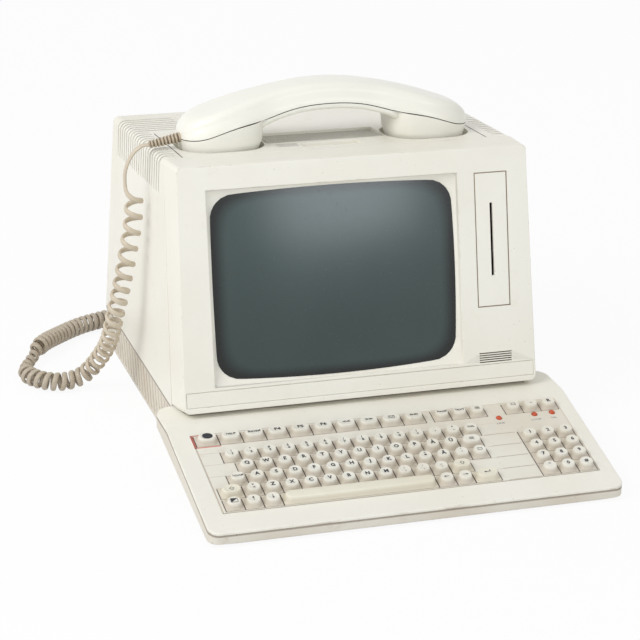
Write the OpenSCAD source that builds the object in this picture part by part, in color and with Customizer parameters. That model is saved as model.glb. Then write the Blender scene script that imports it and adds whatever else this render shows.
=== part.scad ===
// Desktop data terminal: picture tube housing, keyboard deck, card slot and a handset on top.
// Millimetres, Z up, front towards -Y, origin on the table under the middle of the machine.
// Inside the modules y runs backwards from the deck's front edge, and stand() shifts it to the frame.

/* [Overall] */
// Depth from the deck's front edge to the back of the rear cover
depth = 388; // [380:1:400]
// Width of the keyboard deck
deck_w = 322; // [318:1:340]
// Thickness of the moulded walls
wall = 2.5; // [2:0.1:3]
// Gap between pieces that slide past each other
run_gap = 0.35; // [0.3:0.05:0.4]
// Gap between fixed pieces that lie side by side
fit_gap = 0.2; // [0.1:0.05:0.3]

/* [Keyboard deck] */
// Height of the deck's top at its front edge
deck_front_h = 12.1; // [11.8:0.1:13.5]
// Slope of the keyboard deck in degrees
deck_slope = 12.3; // [11.6:0.1:12.8]
// Distance from the front edge to the level part of the deck
deck_kink = 122; // [121:1:125]
// Length of the deck from its front edge to its rear shoulder
deck_len = 164; // [162:1:165]
// Thickness of the deck cover
deck_t = 2.5; // [2:0.1:3]
// Corner radius at the front of the deck
deck_front_r = 8; // [5:1:12]
// Corner radius at the rear shoulder of the deck
deck_rear_r = 14; // [10:1:18]

/* [Base] */
// How much wider the base's rim is than the foot of the front face
base_wider = 5; // [4:0.5:9]
// How much narrower the base is where it stands than at its rim
base_taper = 6; // [3:0.5:10]
// Height of the base's rim under the rear cover
base_h = 37.1; // [36.5:0.1:38]
// Height of the upright rim under the deck cover
rim_h = 8.1; // [7:0.1:8.5]
// Thickness of the base's floor
floor_t = 2; // [1.6:0.1:2.2]
// How far the feet stand out of the base
foot_proud = 1.2; // [1:0.1:1.5]
// Diameter of a foot
foot_d = 18; // [12:1:24]
// Number of grooves on each flank of the base
rib_count = 21; // [15:1:22]
// Width of a groove on the flank
rib_w = 5; // [4:0.5:6]
// Depth of a groove on the flank
rib_deep = 1.2; // [0.8:0.1:1.4]

/* [Monitor housing] */
// Backward lean of the front face in degrees
lean = 14.1; // [13.5:0.1:14.6]
// Distance from the deck's front edge to the foot of the front face
face_y = 135; // [134:1:137]
// Height of the foot of the front face
face_z = 43.1; // [42.6:0.1:44.1]
// Height of the front face along its slope
face_h = 186.5; // [184:0.5:189]
// How much wider the front face is at its foot than the screen opening
face_low_wider = 85.5; // [83.5:0.5:87.5]
// How much wider the front face is at its top than the screen opening
face_top_wider = 79.5; // [77.5:0.5:81.5]
// Thickness of the front face
face_t = 3; // [2.6:0.1:3.4]
// Depth of the front bezel
bezel_deep = 31; // [30:1:33]
// How much wider the bezel is at its back edge
bezel_flare = 4; // [2:0.5:5]
// Gap under the bezel, over the deck
bezel_gap = 1; // [0.8:0.1:1.5]
// Downward slope of the housing's top towards the back, in degrees
top_slope = 5.2; // [4.6:0.1:5.8]
// How far the rear face leans in over its height
rear_lean = 11; // [9:0.5:14]
// Edge radius of the rear cover
cover_r = 5.5; // [4.5:0.5:8]

/* [Vents] */
// Number of vent slits on each side
vent_count = 20; // [14:1:21]
// Width of a vent slit
vent_w = 2.4; // [1.8:0.1:3]
// Distance between vent slits
vent_pitch = 6.9; // [6.5:0.1:7]
// How far the slits run down the flank
vent_drop = 29; // [22:1:34]

/* [Screen] */
// Width of the screen opening
screen_w = 201.5; // [199:0.5:203]
// Height of the screen opening
screen_h = 150; // [147:0.5:151]
// How far the screen's middle lies to the left of the machine's middle
screen_shift = 17.95; // [17.25:0.05:18.7]
// Lower edge of the screen opening on the front face
screen_low = 18.3; // [18:0.1:19]
// How much smaller the visible glass is than the opening
mask_step = 5.5; // [4:0.5:7]
// Radius of the glass face
glass_r = 800; // [700:10:1000]
// Depth of the middle of the glass behind the front face
glass_back = 0.5; // [0:0.1:1.5]
// Length of the picture tube from its face to the end of its neck
tube_len = 182; // [170:1:186]
// Diameter of the tube's neck
neck_d = 22; // [18:0.5:26]

/* [Card slot and sound] */
// Width of the card plate
card_plate_w = 26.4; // [24:0.2:27]
// Height of the card plate
card_plate_h = 104.7; // [100:0.1:106]
// Distance between the screen opening and the card plate
card_gap = 14; // [13:0.5:15]
// Lower edge of the card plate on the front face
card_plate_low = 62; // [60:0.5:64]
// Length of the card slot
card_slot_len = 57; // [55.5:0.5:58]
// Width of the card slot
card_slot_w = 2.4; // [1.6:0.1:3]
// Lower end of the card slot on the front face
card_slot_low = 86; // [84:0.5:90]
// Diameter of the loudspeaker
speaker_d = 36; // [30:1:38]
// Height of the badge strip
badge_h = 11.4; // [10:0.2:12]
// Lower edge of the badge strip on the front face
badge_low = 4.6; // [4:0.1:5]

/* [Keys] */
// Distance between letter keys
key_pitch = 14.57; // [14.5:0.01:14.6]
// Distance between wide keys in the top row
top_pitch = 18.19; // [18.1:0.01:18.3]
// Distance between key rows
row_pitch = 13.86; // [13.8:0.01:13.95]
// Thickness of the web between key rows
row_web = 0.7; // [0.6:0.05:0.8]
// How far a key goes down
key_travel = 1.8; // [1.4:0.1:1.9]
// Height of a key's foot plate over the deck
key_plate_up = 0.4; // [0.3:0.1:0.8]
// Thickness of a key's foot plate
key_plate_t = 2.4; // [2:0.1:2.5]
// Height of a key's raised top over its foot plate
key_boss_h = 4.8; // [4:0.1:5.4]
// Diameter of a key's raised top at its root
key_root_d = 12.4; // [11.8:0.1:12.4]
// Diameter of a key's raised top
key_top_d = 8.8; // [8.2:0.1:9.6]
// Depth of the dish in a key's top
key_dish = 0.5; // [0.3:0.1:0.8]
// Diameter of a key's stem
stem_d = 5; // [4:0.1:5.4]
// Diameter of a signal lamp
lamp_d = 4.6; // [4:0.1:4.8]

/* [Handset] */
// Length of the handset
handset_len = 236; // [234:1:238]
// Width of the handset over its cups
handset_w = 56; // [54:1:58]
// Width of the handset's grip
grip_w = 43; // [40:1:46]
// Length of a cup along the handset
cup_len = 66.5; // [64:0.5:68]
// Height of the handset's back over the housing's top
handset_h = 45.5; // [44.5:0.5:48]
// Height of the seam over the housing's top in the middle of the grip
seam_mid = 31.3; // [30.5:0.1:32.5]
// Height of the seam over the housing's top at the cups
seam_end = 7.2; // [6.8:0.1:8]
// Thickness of the grip under the seam
grip_under = 4.7; // [4.5:0.1:6]
// How deep the cups sit in the cradle
cup_sink = 6; // [5:0.1:7]
// How far the hook plunger rises when the handset is lifted
hook_rise = 3; // [2:0.5:4]

/* [Handset cord] */
// Width of the flat cord
cord_d = 4.2; // [3.8:0.1:4.2]
// Thickness of the flat cord
cord_t = 2.9; // [2.6:0.1:3.2]
// Outer diameter of the curls
curl_d = 16; // [15:0.5:16.5]
// Distance between curls where the cord hangs
loose_pitch = 13; // [12:0.1:14]
// Distance between curls where the cord lies
tight_pitch = 5.2; // [5.1:0.1:5.6]
// Length of the strain relief
boot_len = 24; // [22:1:24]

/* [Hidden] */
$fn = 48;
// Longer than anything in the part, for cuts that go right through
far = 500;
// A sliver by which cuts pass the faces they open
sliver = 0.01;
ivory = [0.93, 0.91, 0.85];
cream = [0.90, 0.88, 0.80];
taupe = [0.70, 0.66, 0.57];
dark = [0.16, 0.17, 0.17];
clear_grey = [0.75, 0.76, 0.74];
board_green = [0.20, 0.38, 0.24];
copper = [0.55, 0.30, 0.16];
steel = [0.62, 0.63, 0.65];
lamp_red = [0.85, 0.22, 0.14];

// Widths that follow from the screen's
face_low_w = screen_w + face_low_wider;
face_top_w = screen_w + face_top_wider;
base_top_w = face_low_w + base_wider;
base_low_w = base_top_w - base_taper;
screen_left = screen_w / 2 + screen_shift;
card_plate_x = screen_w - screen_left + card_gap + card_plate_w / 2;

// Deck and base
deck_level = deck_front_h + deck_kink * tan(deck_slope);
function deck_top(y) = deck_front_h + min(y, deck_kink) * tan(deck_slope);
base_low = foot_proud;
base_floor = base_low + floor_t;
pan_front = 6;
pan_back = 4;
pan_corner = 3;
rim_over = 20;
doorway = 16;
doorway_h = 10;
base_start = deck_len + 1;
corner_r = 6;
rib_end = 12;
rib_first = base_start + rib_end;
rib_pitch = (depth - base_start - 2 * rib_end) / rib_count;
rib_margin = 3;
flank_lean = atan((base_top_w - base_low_w) / 2 / (base_h - base_low));
board_t = 1.6;
post_d = 9;
post_side = 11;
post_x = base_low_w / 2 - post_side;
post_behind = 13;
post_rear = 16;
post_y = [face_y + bezel_deep + post_behind, depth - post_rear];
post_spots = [for (x = [-post_x, post_x], y = post_y) [x, y]];
post_meet = base_h - 9;
cover_post = 22;
web_t = 3;
web_h = 10;
screw_d = 3;
screw_head = 6.4;
screw_head_t = 2;
screw_sunk = 2;
screw_len = 33;
foot_side = 15;
foot_front = 22;
foot_rear = 40;
foot_x = base_low_w / 2 - foot_side;
foot_spots = [for (x = [-foot_x, foot_x], y = [foot_front, depth - foot_rear]) [x, y]];
foot_sunk = floor_t / 2;

// Key rows, as distances up the deck from its front edge
row_first = 29.05;
function row(i) = row_first + i * row_pitch;
top_row = 106.6;
row_len = row_pitch - row_web;
key_gap = 2 * run_gap;
pad_pitch = key_pitch + 0.18;
top_first = -134.8;
screen_gap = 6.51;
screen_first = top_first + 9.5 * top_pitch + screen_gap + key_pitch / 2;
call_gap = 15.3;
pad_first = screen_first + 2.5 * key_pitch + call_gap + pad_pitch / 2;
number_first = -121.8;
upper_first = -114.1;
middle_first = -124.8;
lower_first = -116.9;
cursor_first = -135.4;
arrow_first = 28.1;
side_gap = 0.1;
upper_w = 18.6;
left_w = 18.4;
right_w = 17.8;
return_w = 20.6;
// Wide keys lie against the ends of their rows, and the space bar between its neighbours
function row_end(first, count) = first + (count - 0.5) * key_pitch + side_gap;
function row_start(first) = first - key_pitch / 2 - side_gap;
wide_upper = [row_end(upper_first, 12) + upper_w / 2, upper_w];
wide_left = [row_start(lower_first) - left_w / 2, left_w];
wide_right = [row_end(lower_first, 11) + right_w / 2, right_w];
wide_return = [row_end(arrow_first, 2) + return_w / 2, return_w];
space_left = row_end(cursor_first, 3);
space_right = row_start(arrow_first);
space = [(space_left + space_right) / 2, space_right - space_left];
wide_from = 16;
long_from = 60;
space_stem = 0.3;

// A key is [middle across, distance up the deck, width]
// The rows are planned on their own and then fitted across the deck
plan_left = top_first - top_pitch / 2;
plan_right = pad_first + 2.5 * pad_pitch;
plan_sides = 30.33;
plan_shift = 1.94;
plan_mid = (plan_left + plan_right) / 2 - plan_shift;
deck_fit = deck_w / (plan_right - plan_left + plan_sides);
function fit(x) = (x - plan_mid) * deck_fit;
function one_key(spot, up) = [fit(spot[0]), up, spot[1] * deck_fit];
function keys_in_row(first, count, pitch, up) =
    [for (i = [0 : count - 1]) one_key([first + i * pitch, pitch], up)];
home_keys = keys_in_row(top_first, 1, top_pitch, top_row);
function_list = keys_in_row(top_first + top_pitch, 9, top_pitch, top_row);
screen_list = keys_in_row(screen_first, 3, key_pitch, top_row);
call_list = keys_in_row(pad_first, 3, pad_pitch, top_row);
number_list = keys_in_row(number_first, 14, key_pitch, row(4));
upper_list = concat(keys_in_row(upper_first, 12, key_pitch, row(3)), [one_key(wide_upper, row(3))]);
middle_list = keys_in_row(middle_first, 14, key_pitch, row(2));
lower_list = keys_in_row(lower_first, 11, key_pitch, row(1));
left_shift_list = [one_key(wide_left, row(1))];
right_shift_list = [one_key(wide_right, row(1))];
arrow_list = keys_in_row(arrow_first, 2, key_pitch, row(0));
cursor_list = concat(keys_in_row(cursor_first, 3, key_pitch, row(0)), arrow_list);
space_list = [one_key(space, row(0))];
return_list = [one_key(wide_return, row(0))];
function pad_row(i) = keys_in_row(pad_first, 3, pad_pitch, row(3 - i));
pad_list = concat(pad_row(0), pad_row(1), pad_row(2), pad_row(3));
pad_names = ["1", "2", "3", "4", "5", "6", "7", "8", "9", "star", "0", "hash"];
key_runs = [concat(home_keys, function_list), screen_list, call_list, number_list, upper_list,
    middle_list, concat(left_shift_list, lower_list, right_shift_list),
    concat(cursor_list, space_list, return_list), pad_row(0), pad_row(1), pad_row(2), pad_row(3)];
every_key = [for (run = key_runs) for (k = run) k];
function left_end(run) = min([for (k = run) k[0] - k[2] / 2]);
function right_end(run) = max([for (k = run) k[0] + k[2] / 2]);
function stems(k) = k[2] > long_from ? [k[0] - k[2] * space_stem, k[0] + k[2] * space_stem] : [k[0]];

// Heights under the deck's top, in the deck's own slope
pocket_deep = key_plate_t - key_plate_up + key_travel + 0.4;
guide_t = 1.6;
panel_t = pocket_deep + guide_t;
stem_low = panel_t + 0.8;
mat_up = stem_low + key_travel + 0.3;
mat_t = 0.7;
mat_low = mat_up + mat_t;
key_board_low = mat_low + board_t;
collar_d = stem_d + 3.4;
panel_side = 1;
panel_left = left_end(every_key) - panel_side;
panel_right = right_end(every_key) + panel_side;
panel_front = row(0) - row_pitch / 2 - 0.4;
panel_back = top_row + 8;
blank_left = right_end(number_list) + 1.5;
blank_right = left_end(pad_row(0)) - 1.5;
groove_w = 0.6;
lamp_up = 97;
lamp_proud = 0.2;
lamp_side = 14.8;
lamp_x = [fit(pad_first - lamp_side), fit(pad_first + pad_pitch), fit(pad_first + 2 * pad_pitch)];
key_post_x = [fit(-120), fit(0), fit(120)];
key_post_up = [31, 101];

// Front face
face_top_y = face_y + face_h * sin(lean);
face_top_z = face_z + face_h * cos(lean);
function top_z(y) = face_top_z - (y - face_top_y) * tan(top_slope);
// A point in the housing's top's own slope, over the cradle's middle
function top_point(x, y, h) = [x - cradle_left, cradle_y + y * cos(top_slope) + h * sin(top_slope),
    top_z(cradle_y) - y * sin(top_slope) + h * cos(top_slope)];
bezel_up = bezel_deep * tan(lean - top_slope);
face_top_r = 4;
face_low_r = 5;
screen_mid = [screen_w / 2 - screen_left, screen_low + screen_h / 2];
mask_deep = 10;
mask_frame = 3.5;
mask_r = 13;
mask_over = 2;
plate_t = 1.5;
badge_t = 1;
badge_side = 2;
card_side = 3;
card_deep = 62;
card_back = 6;
card_ease = 1;
speaker_up = 27;
speaker_rim = 2;
speaker_rim_h = 4;
speaker_cone_h = 6;
speaker_magnet_h = 6;
grille_w = 27;
grille_slits = 5;
grille_pitch = 1.75;
grille_slit = 0.9;
grille_up = 21.5;

// Picture tube, measured back from the front face
tube_r = 20;
tube_w = screen_w + 5;
tube_h = screen_h + 5;
tube_side = 34;
tube_back = glass_back + tube_len;
neck_len = 62;
neck_root = 10;
neck_root_d = neck_d + 10;
band_t = 1.5;
band_at = mask_deep + 6;
band_deep = 10;
ear_w = 12;
ear_t = 2;
ear_hole = 4.4;
ear_pilot = 3.4;
ear_post = 9;
yoke_at = tube_back - neck_len + 4;
yoke_len = 34;
yoke_flare = 7;
yoke_ring = 5;
yoke_wrap = 7;
yoke_core = neck_d + 2 * yoke_wrap;
yoke_narrow = yoke_core + 2 * yoke_ring;
yoke_wide = yoke_narrow + 2 * yoke_flare;
neck_plate = 56;
neck_plate_at = tube_back - 12;
neck_cap_h = 10;

// Cradle on the housing's top, in the top's own slope
cradle_y = 250;
cradle_left = 2.9;
plan_back = 138;
back_run = (depth - cradle_y) / plan_back;
cradle_front = face_top_y + bezel_deep / cos(lean - top_slope) + 1.5 - cradle_y;
cradle_w = 247;
cradle_waist = 50;
cradle_narrow = 184;
cover_back_y = depth - rear_lean;
cradle_back = cover_back_y - cradle_y - 14;
cradle_t = 3;
vent_first = 8;
vent_side = 5;
vent_clear = 6;
well_gap = 1.2;
well_deep = cup_sink + run_gap;
cup_x = handset_len / 2 - cup_len / 2;
cup_r = min(26, handset_w / 2 - wall - 0.2);
lane_low = 2.2;
lane_front = -10;
lane_back = 25;
lane_side = 2;
lane_w = 2 * (cup_x - cup_len / 2 - well_gap - lane_side);
lane_grooves = 10;
lane_groove_w = 1.4;
lane_groove_deep = 1.2;
rest_w = 49;
rest_len = 12;
rest_deep = 3;
rest_front = -27.5;
hook_d = 8;
hook_stem = 4;
hook_under = 8;
hook_head = hook_rise / 2;

// Handset
seam_r = 235;
crown_r = 320;
crown_edge = 11;
crown_half = handset_w / 2 + 1;
crown_flat = crown_half - crown_edge;
seam_gap = 0.2;
capsule_d = 36;
capsule_h = 8;
capsule_hub_h = 10;
sound_hole = 2;
sound_ring = 9;
boot_up = 8.5;
boot_y = -5;
boot_tilt = 10;
boot_thick = 8.6;
boot_thin = 6.2;
boot_core = 1.4;
boot_ribs = 7;
boot_rib_first = 2;
boot_rib_share = 0.6;
boot_collar = 0.5;
boot_hook = 2;
boot_hole = 40;

// Boards and sockets in the base
main_up = 10;
main_side = 17;
main_w = base_low_w - 2 * main_side;
main_front = 205;
main_rear = 36;
main_len = depth - main_front - main_rear;
main_post_x = main_w / 2 - 8;
main_post_y = [main_front + 10, main_front + main_len - 12];
main_posts = [for (x = [-main_post_x, main_post_x], y = main_post_y) [x, y]];
flyback_at = [70, 300];
flyback = [40, 36, 14];
flyback_d = 30;
flyback_coil_h = 26;
socket = [16, 15, 14];
socket_z = 17;
socket_x = [-96, -66];
plug = [11, 30, 8];
plug_in = 10;
inlet = [30, 24, 22];
inlet_x = 96;
inlet_wall = 3;
inlet_deep = 14;

// Route of the handset cord's middle line: out of the strain relief, down beside the flank, to the plug
cord_off = 0.6;
cord_out = 5.6;
function boot_point(run) = top_point(-handset_len / 2 - (boot_len + run) * cos(boot_tilt), boot_y,
    boot_up - (boot_len + run) * sin(boot_tilt));
// Distances out from the flank, back from the cradle's middle and over the table
side_plan = [[11.5, -4, 214], [13.5, -4, 200], [13.2, -4.5, 186], [12.8, -4, 170], [14.2, -4, 154],
    [16.5, -3, 138.5], [18.8, -2.5, 124], [21.2, -2, 110], [23.5, -1, 97], [25.6, 1, 84.5],
    [27, 5, 72], [27.5, 11.8, 59.5], [28.3, 20, 48.5], [30, 28.5, 38.5], [32.6, 36.3, 29],
    [36.4, 42.3, 20.2], [42, 46, 13.2], [50.3, 47.4, 9.4], [60.5, 47.7, 8.3], [71, 51.8, 8.3],
    [79, 61, 8.3], [82.5, 74, 8.3], [80.5, 89, 8.3], [73.6, 104, 8.3], [64, 119, 8.3],
    [53, 132.5, 8.3], [41.5, 144.5, 8.3], [29.5, 154.8, 8.3]];
// Distances from the socket's middle, behind the rear cover and over the table
plug_plan = [[-64.5, 24.5, 8.3], [-51.5, 30.5, 8.3], [-39, 35, 8.5], [-26, 39, 10.5], [-14, 41, 13],
    [-5, 38, 15.5], [-0.5, 31, 17], [0, plug[1] - plug_in + cord_off, socket_z]];
cord_route = concat([boot_point(cord_off), boot_point(cord_out)],
    [for (p = side_plan) [-face_low_w / 2 - p[0], cradle_y + back_run * p[1], p[2]]],
    [for (p = plug_plan) [socket_x[0] + p[0], depth + p[1], p[2]]]);
route_steps = 8;
curl_start = 42;
curl_tail = 46;
curl_ease = 100;
curl_hang = 122;
curl_land = 212;
curl_bend = 242;
curl_rest = 350;
hang_slack = 5.2;
land_slack = 5.0;
bend_slack = 2.5;
curl_ramp = 1;
curl_step = 2;
rings_per_curl = 8;
cord_sides = 6;
lead_step = 6;

// Placing helpers
module stand() { translate([0, -depth / 2, 0]) children(); }
module on_deck() { translate([0, 0, deck_front_h]) rotate([deck_slope, 0, 0]) children(); }
module on_face() { translate([0, face_y, face_z]) rotate([-lean, 0, 0]) children(); }
module on_top() {
    translate([-cradle_left, cradle_y, top_z(cradle_y)]) rotate([-top_slope, 0, 0]) children();
}
module at_glass() { on_face() translate([screen_mid[0], 0, screen_mid[1]]) rotate([-90, 0, 0]) children(); }
module at_spots(spots, z) { for (p = spots) translate([p[0], p[1], z]) children(); }
module at_stems() { for (k = every_key, x = stems(k)) translate([x, k[1], 0]) children(); }
module front_half() { translate([-far, 0, -far]) cube(2 * far); }

// A flat outline with round corners, r1 at its lower and r2 at its upper edge
module round_plan(x0, x1, y0, y1, r1, r2) {
    translate([x0, y0 + r1]) square([x1 - x0, y1 - y0 - r1 - r2]);
    translate([x0 + r1, y0]) square([x1 - x0 - 2 * r1, r1 + sliver]);
    translate([x0 + r2, y1 - r2 - sliver]) square([x1 - x0 - 2 * r2, r2 + sliver]);
    for (x = [x0 + r1, x1 - r1]) translate([x, y0 + r1]) circle(r1);
    for (x = [x0 + r2, x1 - r2]) translate([x, y1 - r2]) circle(r2);
}

// Everything between two depths under the deck's top, wider than the deck
module deck_layer(upper, lower) {
    front = deck_top(-deck_front_r);
    rotate([90, 0, 90]) linear_extrude(far, center = true) polygon([
        [-deck_front_r, front - upper], [deck_kink, deck_level - upper], [far, deck_level - upper],
        [far, deck_level - lower], [deck_kink, deck_level - lower], [-deck_front_r, front - lower]]);
}

// Pan under the deck: an upright rim that leans in to the footprint
module pan(inset, low) {
    foot = base_low_w / 2 - inset - pan_corner;
    hull() for (side = [-1, 1]) {
        for (at = [[deck_front_r, deck_front_r], [deck_len - deck_rear_r, deck_rear_r]]) {
            rim = max(low, deck_top(at[0]) - deck_t - rim_h);
            translate([side * (deck_w / 2 - at[1]), at[0], rim])
                cylinder(h = rim_h + rim_over, r = at[1] - inset);
        }
        for (y = [pan_front + inset, deck_len - pan_back - inset])
            translate([side * foot, y, low]) cylinder(h = 1, r = pan_corner);
    }
}

// Box behind the deck that carries the rear cover
module box(inset, low, high) {
    hull() for (side = [-1, 1], y = [base_start + corner_r, depth - corner_r]) {
        translate([side * (base_low_w / 2 - corner_r), y, low]) cylinder(h = sliver, r = corner_r - inset);
        translate([side * (base_top_w / 2 - corner_r), y, high - sliver])
            cylinder(h = sliver, r = corner_r - inset);
    }
}

module pan_shell() {
    difference() {
        pan(0, base_low);
        deck_layer(-far, deck_t);
        difference() {
            pan(wall, base_floor);
            translate([-far / 2, deck_len - doorway + corner_r, 0]) cube([far, far, doorway_h]);
        }
    }
}

module box_shell() {
    difference() {
        box(0, base_low, base_h);
        box(wall, base_floor, base_h + sliver);
        for (side = [0, 1], i = [0 : rib_count - 1]) mirror([side, 0, 0])
            translate([base_low_w / 2, rib_first + i * rib_pitch, base_low]) rotate([0, flank_lean, 0])
                translate([-rib_deep, 0, rib_margin])
                    cube([rib_deep + 1, rib_w, base_h - base_low - 2 * rib_margin]);
    }
}

// Posts that carry the keyboard board, cut to its slope
module key_posts() {
    difference() {
        for (x = key_post_x, up = key_post_up)
            translate([x, up * cos(deck_slope) + key_board_low * sin(deck_slope), base_low])
                cylinder(h = deck_level, d = post_d);
        on_deck() translate([-far / 2, -far / 2, -key_board_low]) cube(far);
    }
}

module base_tray() {
    color(cream) difference() {
        union() {
            pan_shell();
            box_shell();
            translate([-base_low_w / 2 + corner_r, deck_len - doorway + corner_r, base_low])
                cube([base_low_w - 2 * corner_r, doorway, floor_t]);
            at_spots(post_spots, base_low) cylinder(h = post_meet - base_low, d = post_d);
            at_spots(main_posts, base_low) cylinder(h = main_up - base_low, d = post_d);
            key_posts();
        }
        at_spots(post_spots, 0) cylinder(h = far, d = screw_d + 2 * fit_gap);
        at_spots(post_spots, 0)
            cylinder(h = base_low + screw_sunk + screw_head_t, d = screw_head + 2 * fit_gap);
        at_spots(foot_spots, base_low - sliver) cylinder(h = foot_sunk + sliver, d = foot_d + 2 * fit_gap);
        for (x = socket_x) socket_space(x, socket, fit_gap);
        socket_space(inlet_x, inlet, fit_gap);
    }
}

// Room for a socket of the given size in the base's back wall
module socket_space(x, size, gap) {
    translate([x - size[0] / 2 - gap, depth - size[1] - gap, socket_z - size[2] / 2 - gap])
        cube([size[0] + 2 * gap, size[1] + 2 * gap, size[2] + 2 * gap]);
}

module rubber_feet() {
    color(dark) at_spots(foot_spots, 0) cylinder(h = foot_proud + foot_sunk, d = foot_d);
}

module case_screws() {
    color(steel) at_spots(post_spots, base_low + screw_sunk) {
        cylinder(h = screw_head_t, d = screw_head);
        cylinder(h = screw_len, d = screw_d);
    }
}

module deck_cover() {
    color(ivory) difference() {
        intersection() {
            linear_extrude(far) round_plan(-deck_w / 2, deck_w / 2, 0, deck_len, deck_front_r, deck_rear_r);
            deck_layer(0, deck_t);
        }
        on_deck() panel_block(fit_gap, deck_t);
    }
}

// Block that fills the deck's opening, from under the key guides to a height over the deck
module panel_block(gap, over) {
    translate([panel_left - gap, panel_front - gap, -panel_t])
        cube([panel_right - panel_left + 2 * gap, panel_back - panel_front + 2 * gap, panel_t + over]);
}

module lamp_holes() {
    for (x = lamp_x) translate([x, lamp_up, -far / 2]) cylinder(h = far, d = lamp_d + 2 * fit_gap);
}

module key_panel() {
    color(ivory) on_deck() difference() {
        panel_block(0, 0);
        for (run = key_runs) translate([left_end(run), run[0][1] - row_len / 2, -pocket_deep])
            cube([right_end(run) - left_end(run), row_len, far]);
        at_stems() translate([0, 0, -far / 2]) cylinder(h = far, d = stem_d + 2 * run_gap);
        lamp_holes();
        for (i = [0 : 4]) translate([blank_left, row(i) - row_pitch / 2, -groove_w])
            cube([blank_right - blank_left, groove_w, far]);
    }
}

module contact_mat() {
    color(dark) on_deck() difference() {
        union() {
            translate([panel_left, panel_front, -mat_low])
                cube([panel_right - panel_left, panel_back - panel_front, mat_t]);
            at_stems() translate([0, 0, -mat_low]) cylinder(h = mat_low - panel_t - fit_gap, d = collar_d);
        }
        at_stems() translate([0, 0, -mat_up]) cylinder(h = far, d = stem_d + 2 * run_gap);
        lamp_holes();
    }
}

module keyboard_board() {
    color(board_green) on_deck() translate([panel_left, panel_front, -key_board_low])
        cube([panel_right - panel_left, panel_back - panel_front, board_t]);
}

module signal_lamps() {
    color(lamp_red) on_deck() for (x = lamp_x) translate([x, lamp_up, 0]) {
        translate([0, 0, -mat_low]) cylinder(h = mat_low + lamp_proud, d = lamp_d);
        translate([0, 0, lamp_proud]) intersection() {
            sphere(d = lamp_d);
            translate([-lamp_d, -lamp_d, 0]) cube(2 * lamp_d);
        }
    }
}

// A key: foot plate, raised top with a dish, and a stem; a wide key has a longer top
module key(k) {
    wide = k[2] > wide_from;
    half = wide ? (k[2] - key_pitch) / 2 : 0;
    plate = [k[2] - key_gap, row_len - key_gap, key_plate_t];
    dish_r = (key_top_d * key_top_d / 4 + key_dish * key_dish) / 2 / key_dish;
    translate([k[0], k[1], key_plate_up]) {
        translate([-plate[0] / 2, -plate[1] / 2, -key_plate_t]) cube(plate);
        difference() {
            union() {
                for (x = wide ? [-half, half] : [0])
                    translate([x, 0, 0]) cylinder(h = key_boss_h, d1 = key_root_d, d2 = key_top_d);
                if (wide) rotate([90, 0, 90]) linear_extrude(2 * half, center = true)
                    polygon([[-key_root_d / 2, 0], [key_root_d / 2, 0], [key_top_d / 2, key_boss_h],
                        [-key_top_d / 2, key_boss_h]]);
            }
            translate([0, 0, key_boss_h + dish_r - key_dish]) {
                if (wide) rotate([0, 90, 0]) cylinder(h = k[2], r = dish_r, center = true);
                else sphere(dish_r);
            }
        }
    }
    for (x = stems(k)) translate([x, k[1], -stem_low]) cylinder(h = stem_low, d = stem_d);
}

module keys(list) { color(ivory) on_deck() for (k = list) key(k); }
module home_key() { keys(home_keys); }
module function_keys() { keys(function_list); }
module screen_key(i) { keys([screen_list[i]]); }
module call_key(i) { keys([call_list[i]]); }
module number_keys() { keys(number_list); }
module upper_letter_keys() { keys(upper_list); }
module middle_letter_keys() { keys(middle_list); }
module lower_letter_keys() { keys(lower_list); }
module left_shift_key() { keys(left_shift_list); }
module right_shift_key() { keys(right_shift_list); }
module cursor_keys() { keys(cursor_list); }
module space_bar() { keys(space_list); }
module return_key() { keys(return_list); }
module keypad_key(i) { keys([pad_list[i]]); }

// Bezel body: the front face's outline drawn out to a wider back edge
module bezel_body(inset, from) {
    hull() for (side = [-1, 1], end = [0, 1]) {
        flare = end * bezel_flare / 2;
        into = end * bezel_deep + (1 - end) * from;
        top = face_h + end * bezel_up - face_top_r;
        translate([side * (face_top_w / 2 + flare - face_top_r), into, top])
            rotate([-90, 0, 0]) cylinder(h = sliver, r = face_top_r - inset);
        translate([side * (face_low_w / 2 + flare - face_low_r), into, face_low_r])
            rotate([-90, 0, 0]) cylinder(h = sliver, r = face_low_r - inset);
    }
}

// Block round the screen opening that carries the sloping mask
module mask_block() {
    translate([-screen_left - mask_frame, 0, screen_low - mask_frame])
        cube([screen_w + 2 * mask_frame, mask_deep, screen_h + 2 * mask_frame]);
}

// Sloping opening from the front face in to the glass
module mask_funnel() {
    x = (screen_w - mask_step) / 2 - mask_r;
    y = (screen_h - mask_step) / 2 - mask_r;
    hull() {
        translate([-screen_w / 2, -screen_h / 2, -sliver]) cube([screen_w, screen_h, sliver]);
        for (p = [[-x, -y], [x, -y], [-x, y], [x, y]])
            translate([p[0], p[1], mask_deep]) cylinder(h = mask_over, r = mask_r, $fn = 32);
    }
}

// Tube's outline drawn along its axis
module glass_prism(grow, from, to) {
    x = tube_w / 2 + grow;
    y = tube_h / 2 + grow;
    translate([0, 0, from]) linear_extrude(to - from) round_plan(-x, x, -y, y, tube_r, tube_r);
}

// Front of the tube, with its slightly bulged face
module glass_face(grow, to) {
    intersection() {
        glass_prism(grow, -mask_deep, to);
        translate([0, 0, glass_r + glass_back - grow]) sphere(glass_r, $fn = 120);
    }
}

module at_ears() {
    for (x = [-1, 1], y = [-1, 1])
        translate([x * (tube_w / 2 + band_t), y * (tube_h / 2 - ear_w), band_at]) children();
}

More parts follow.
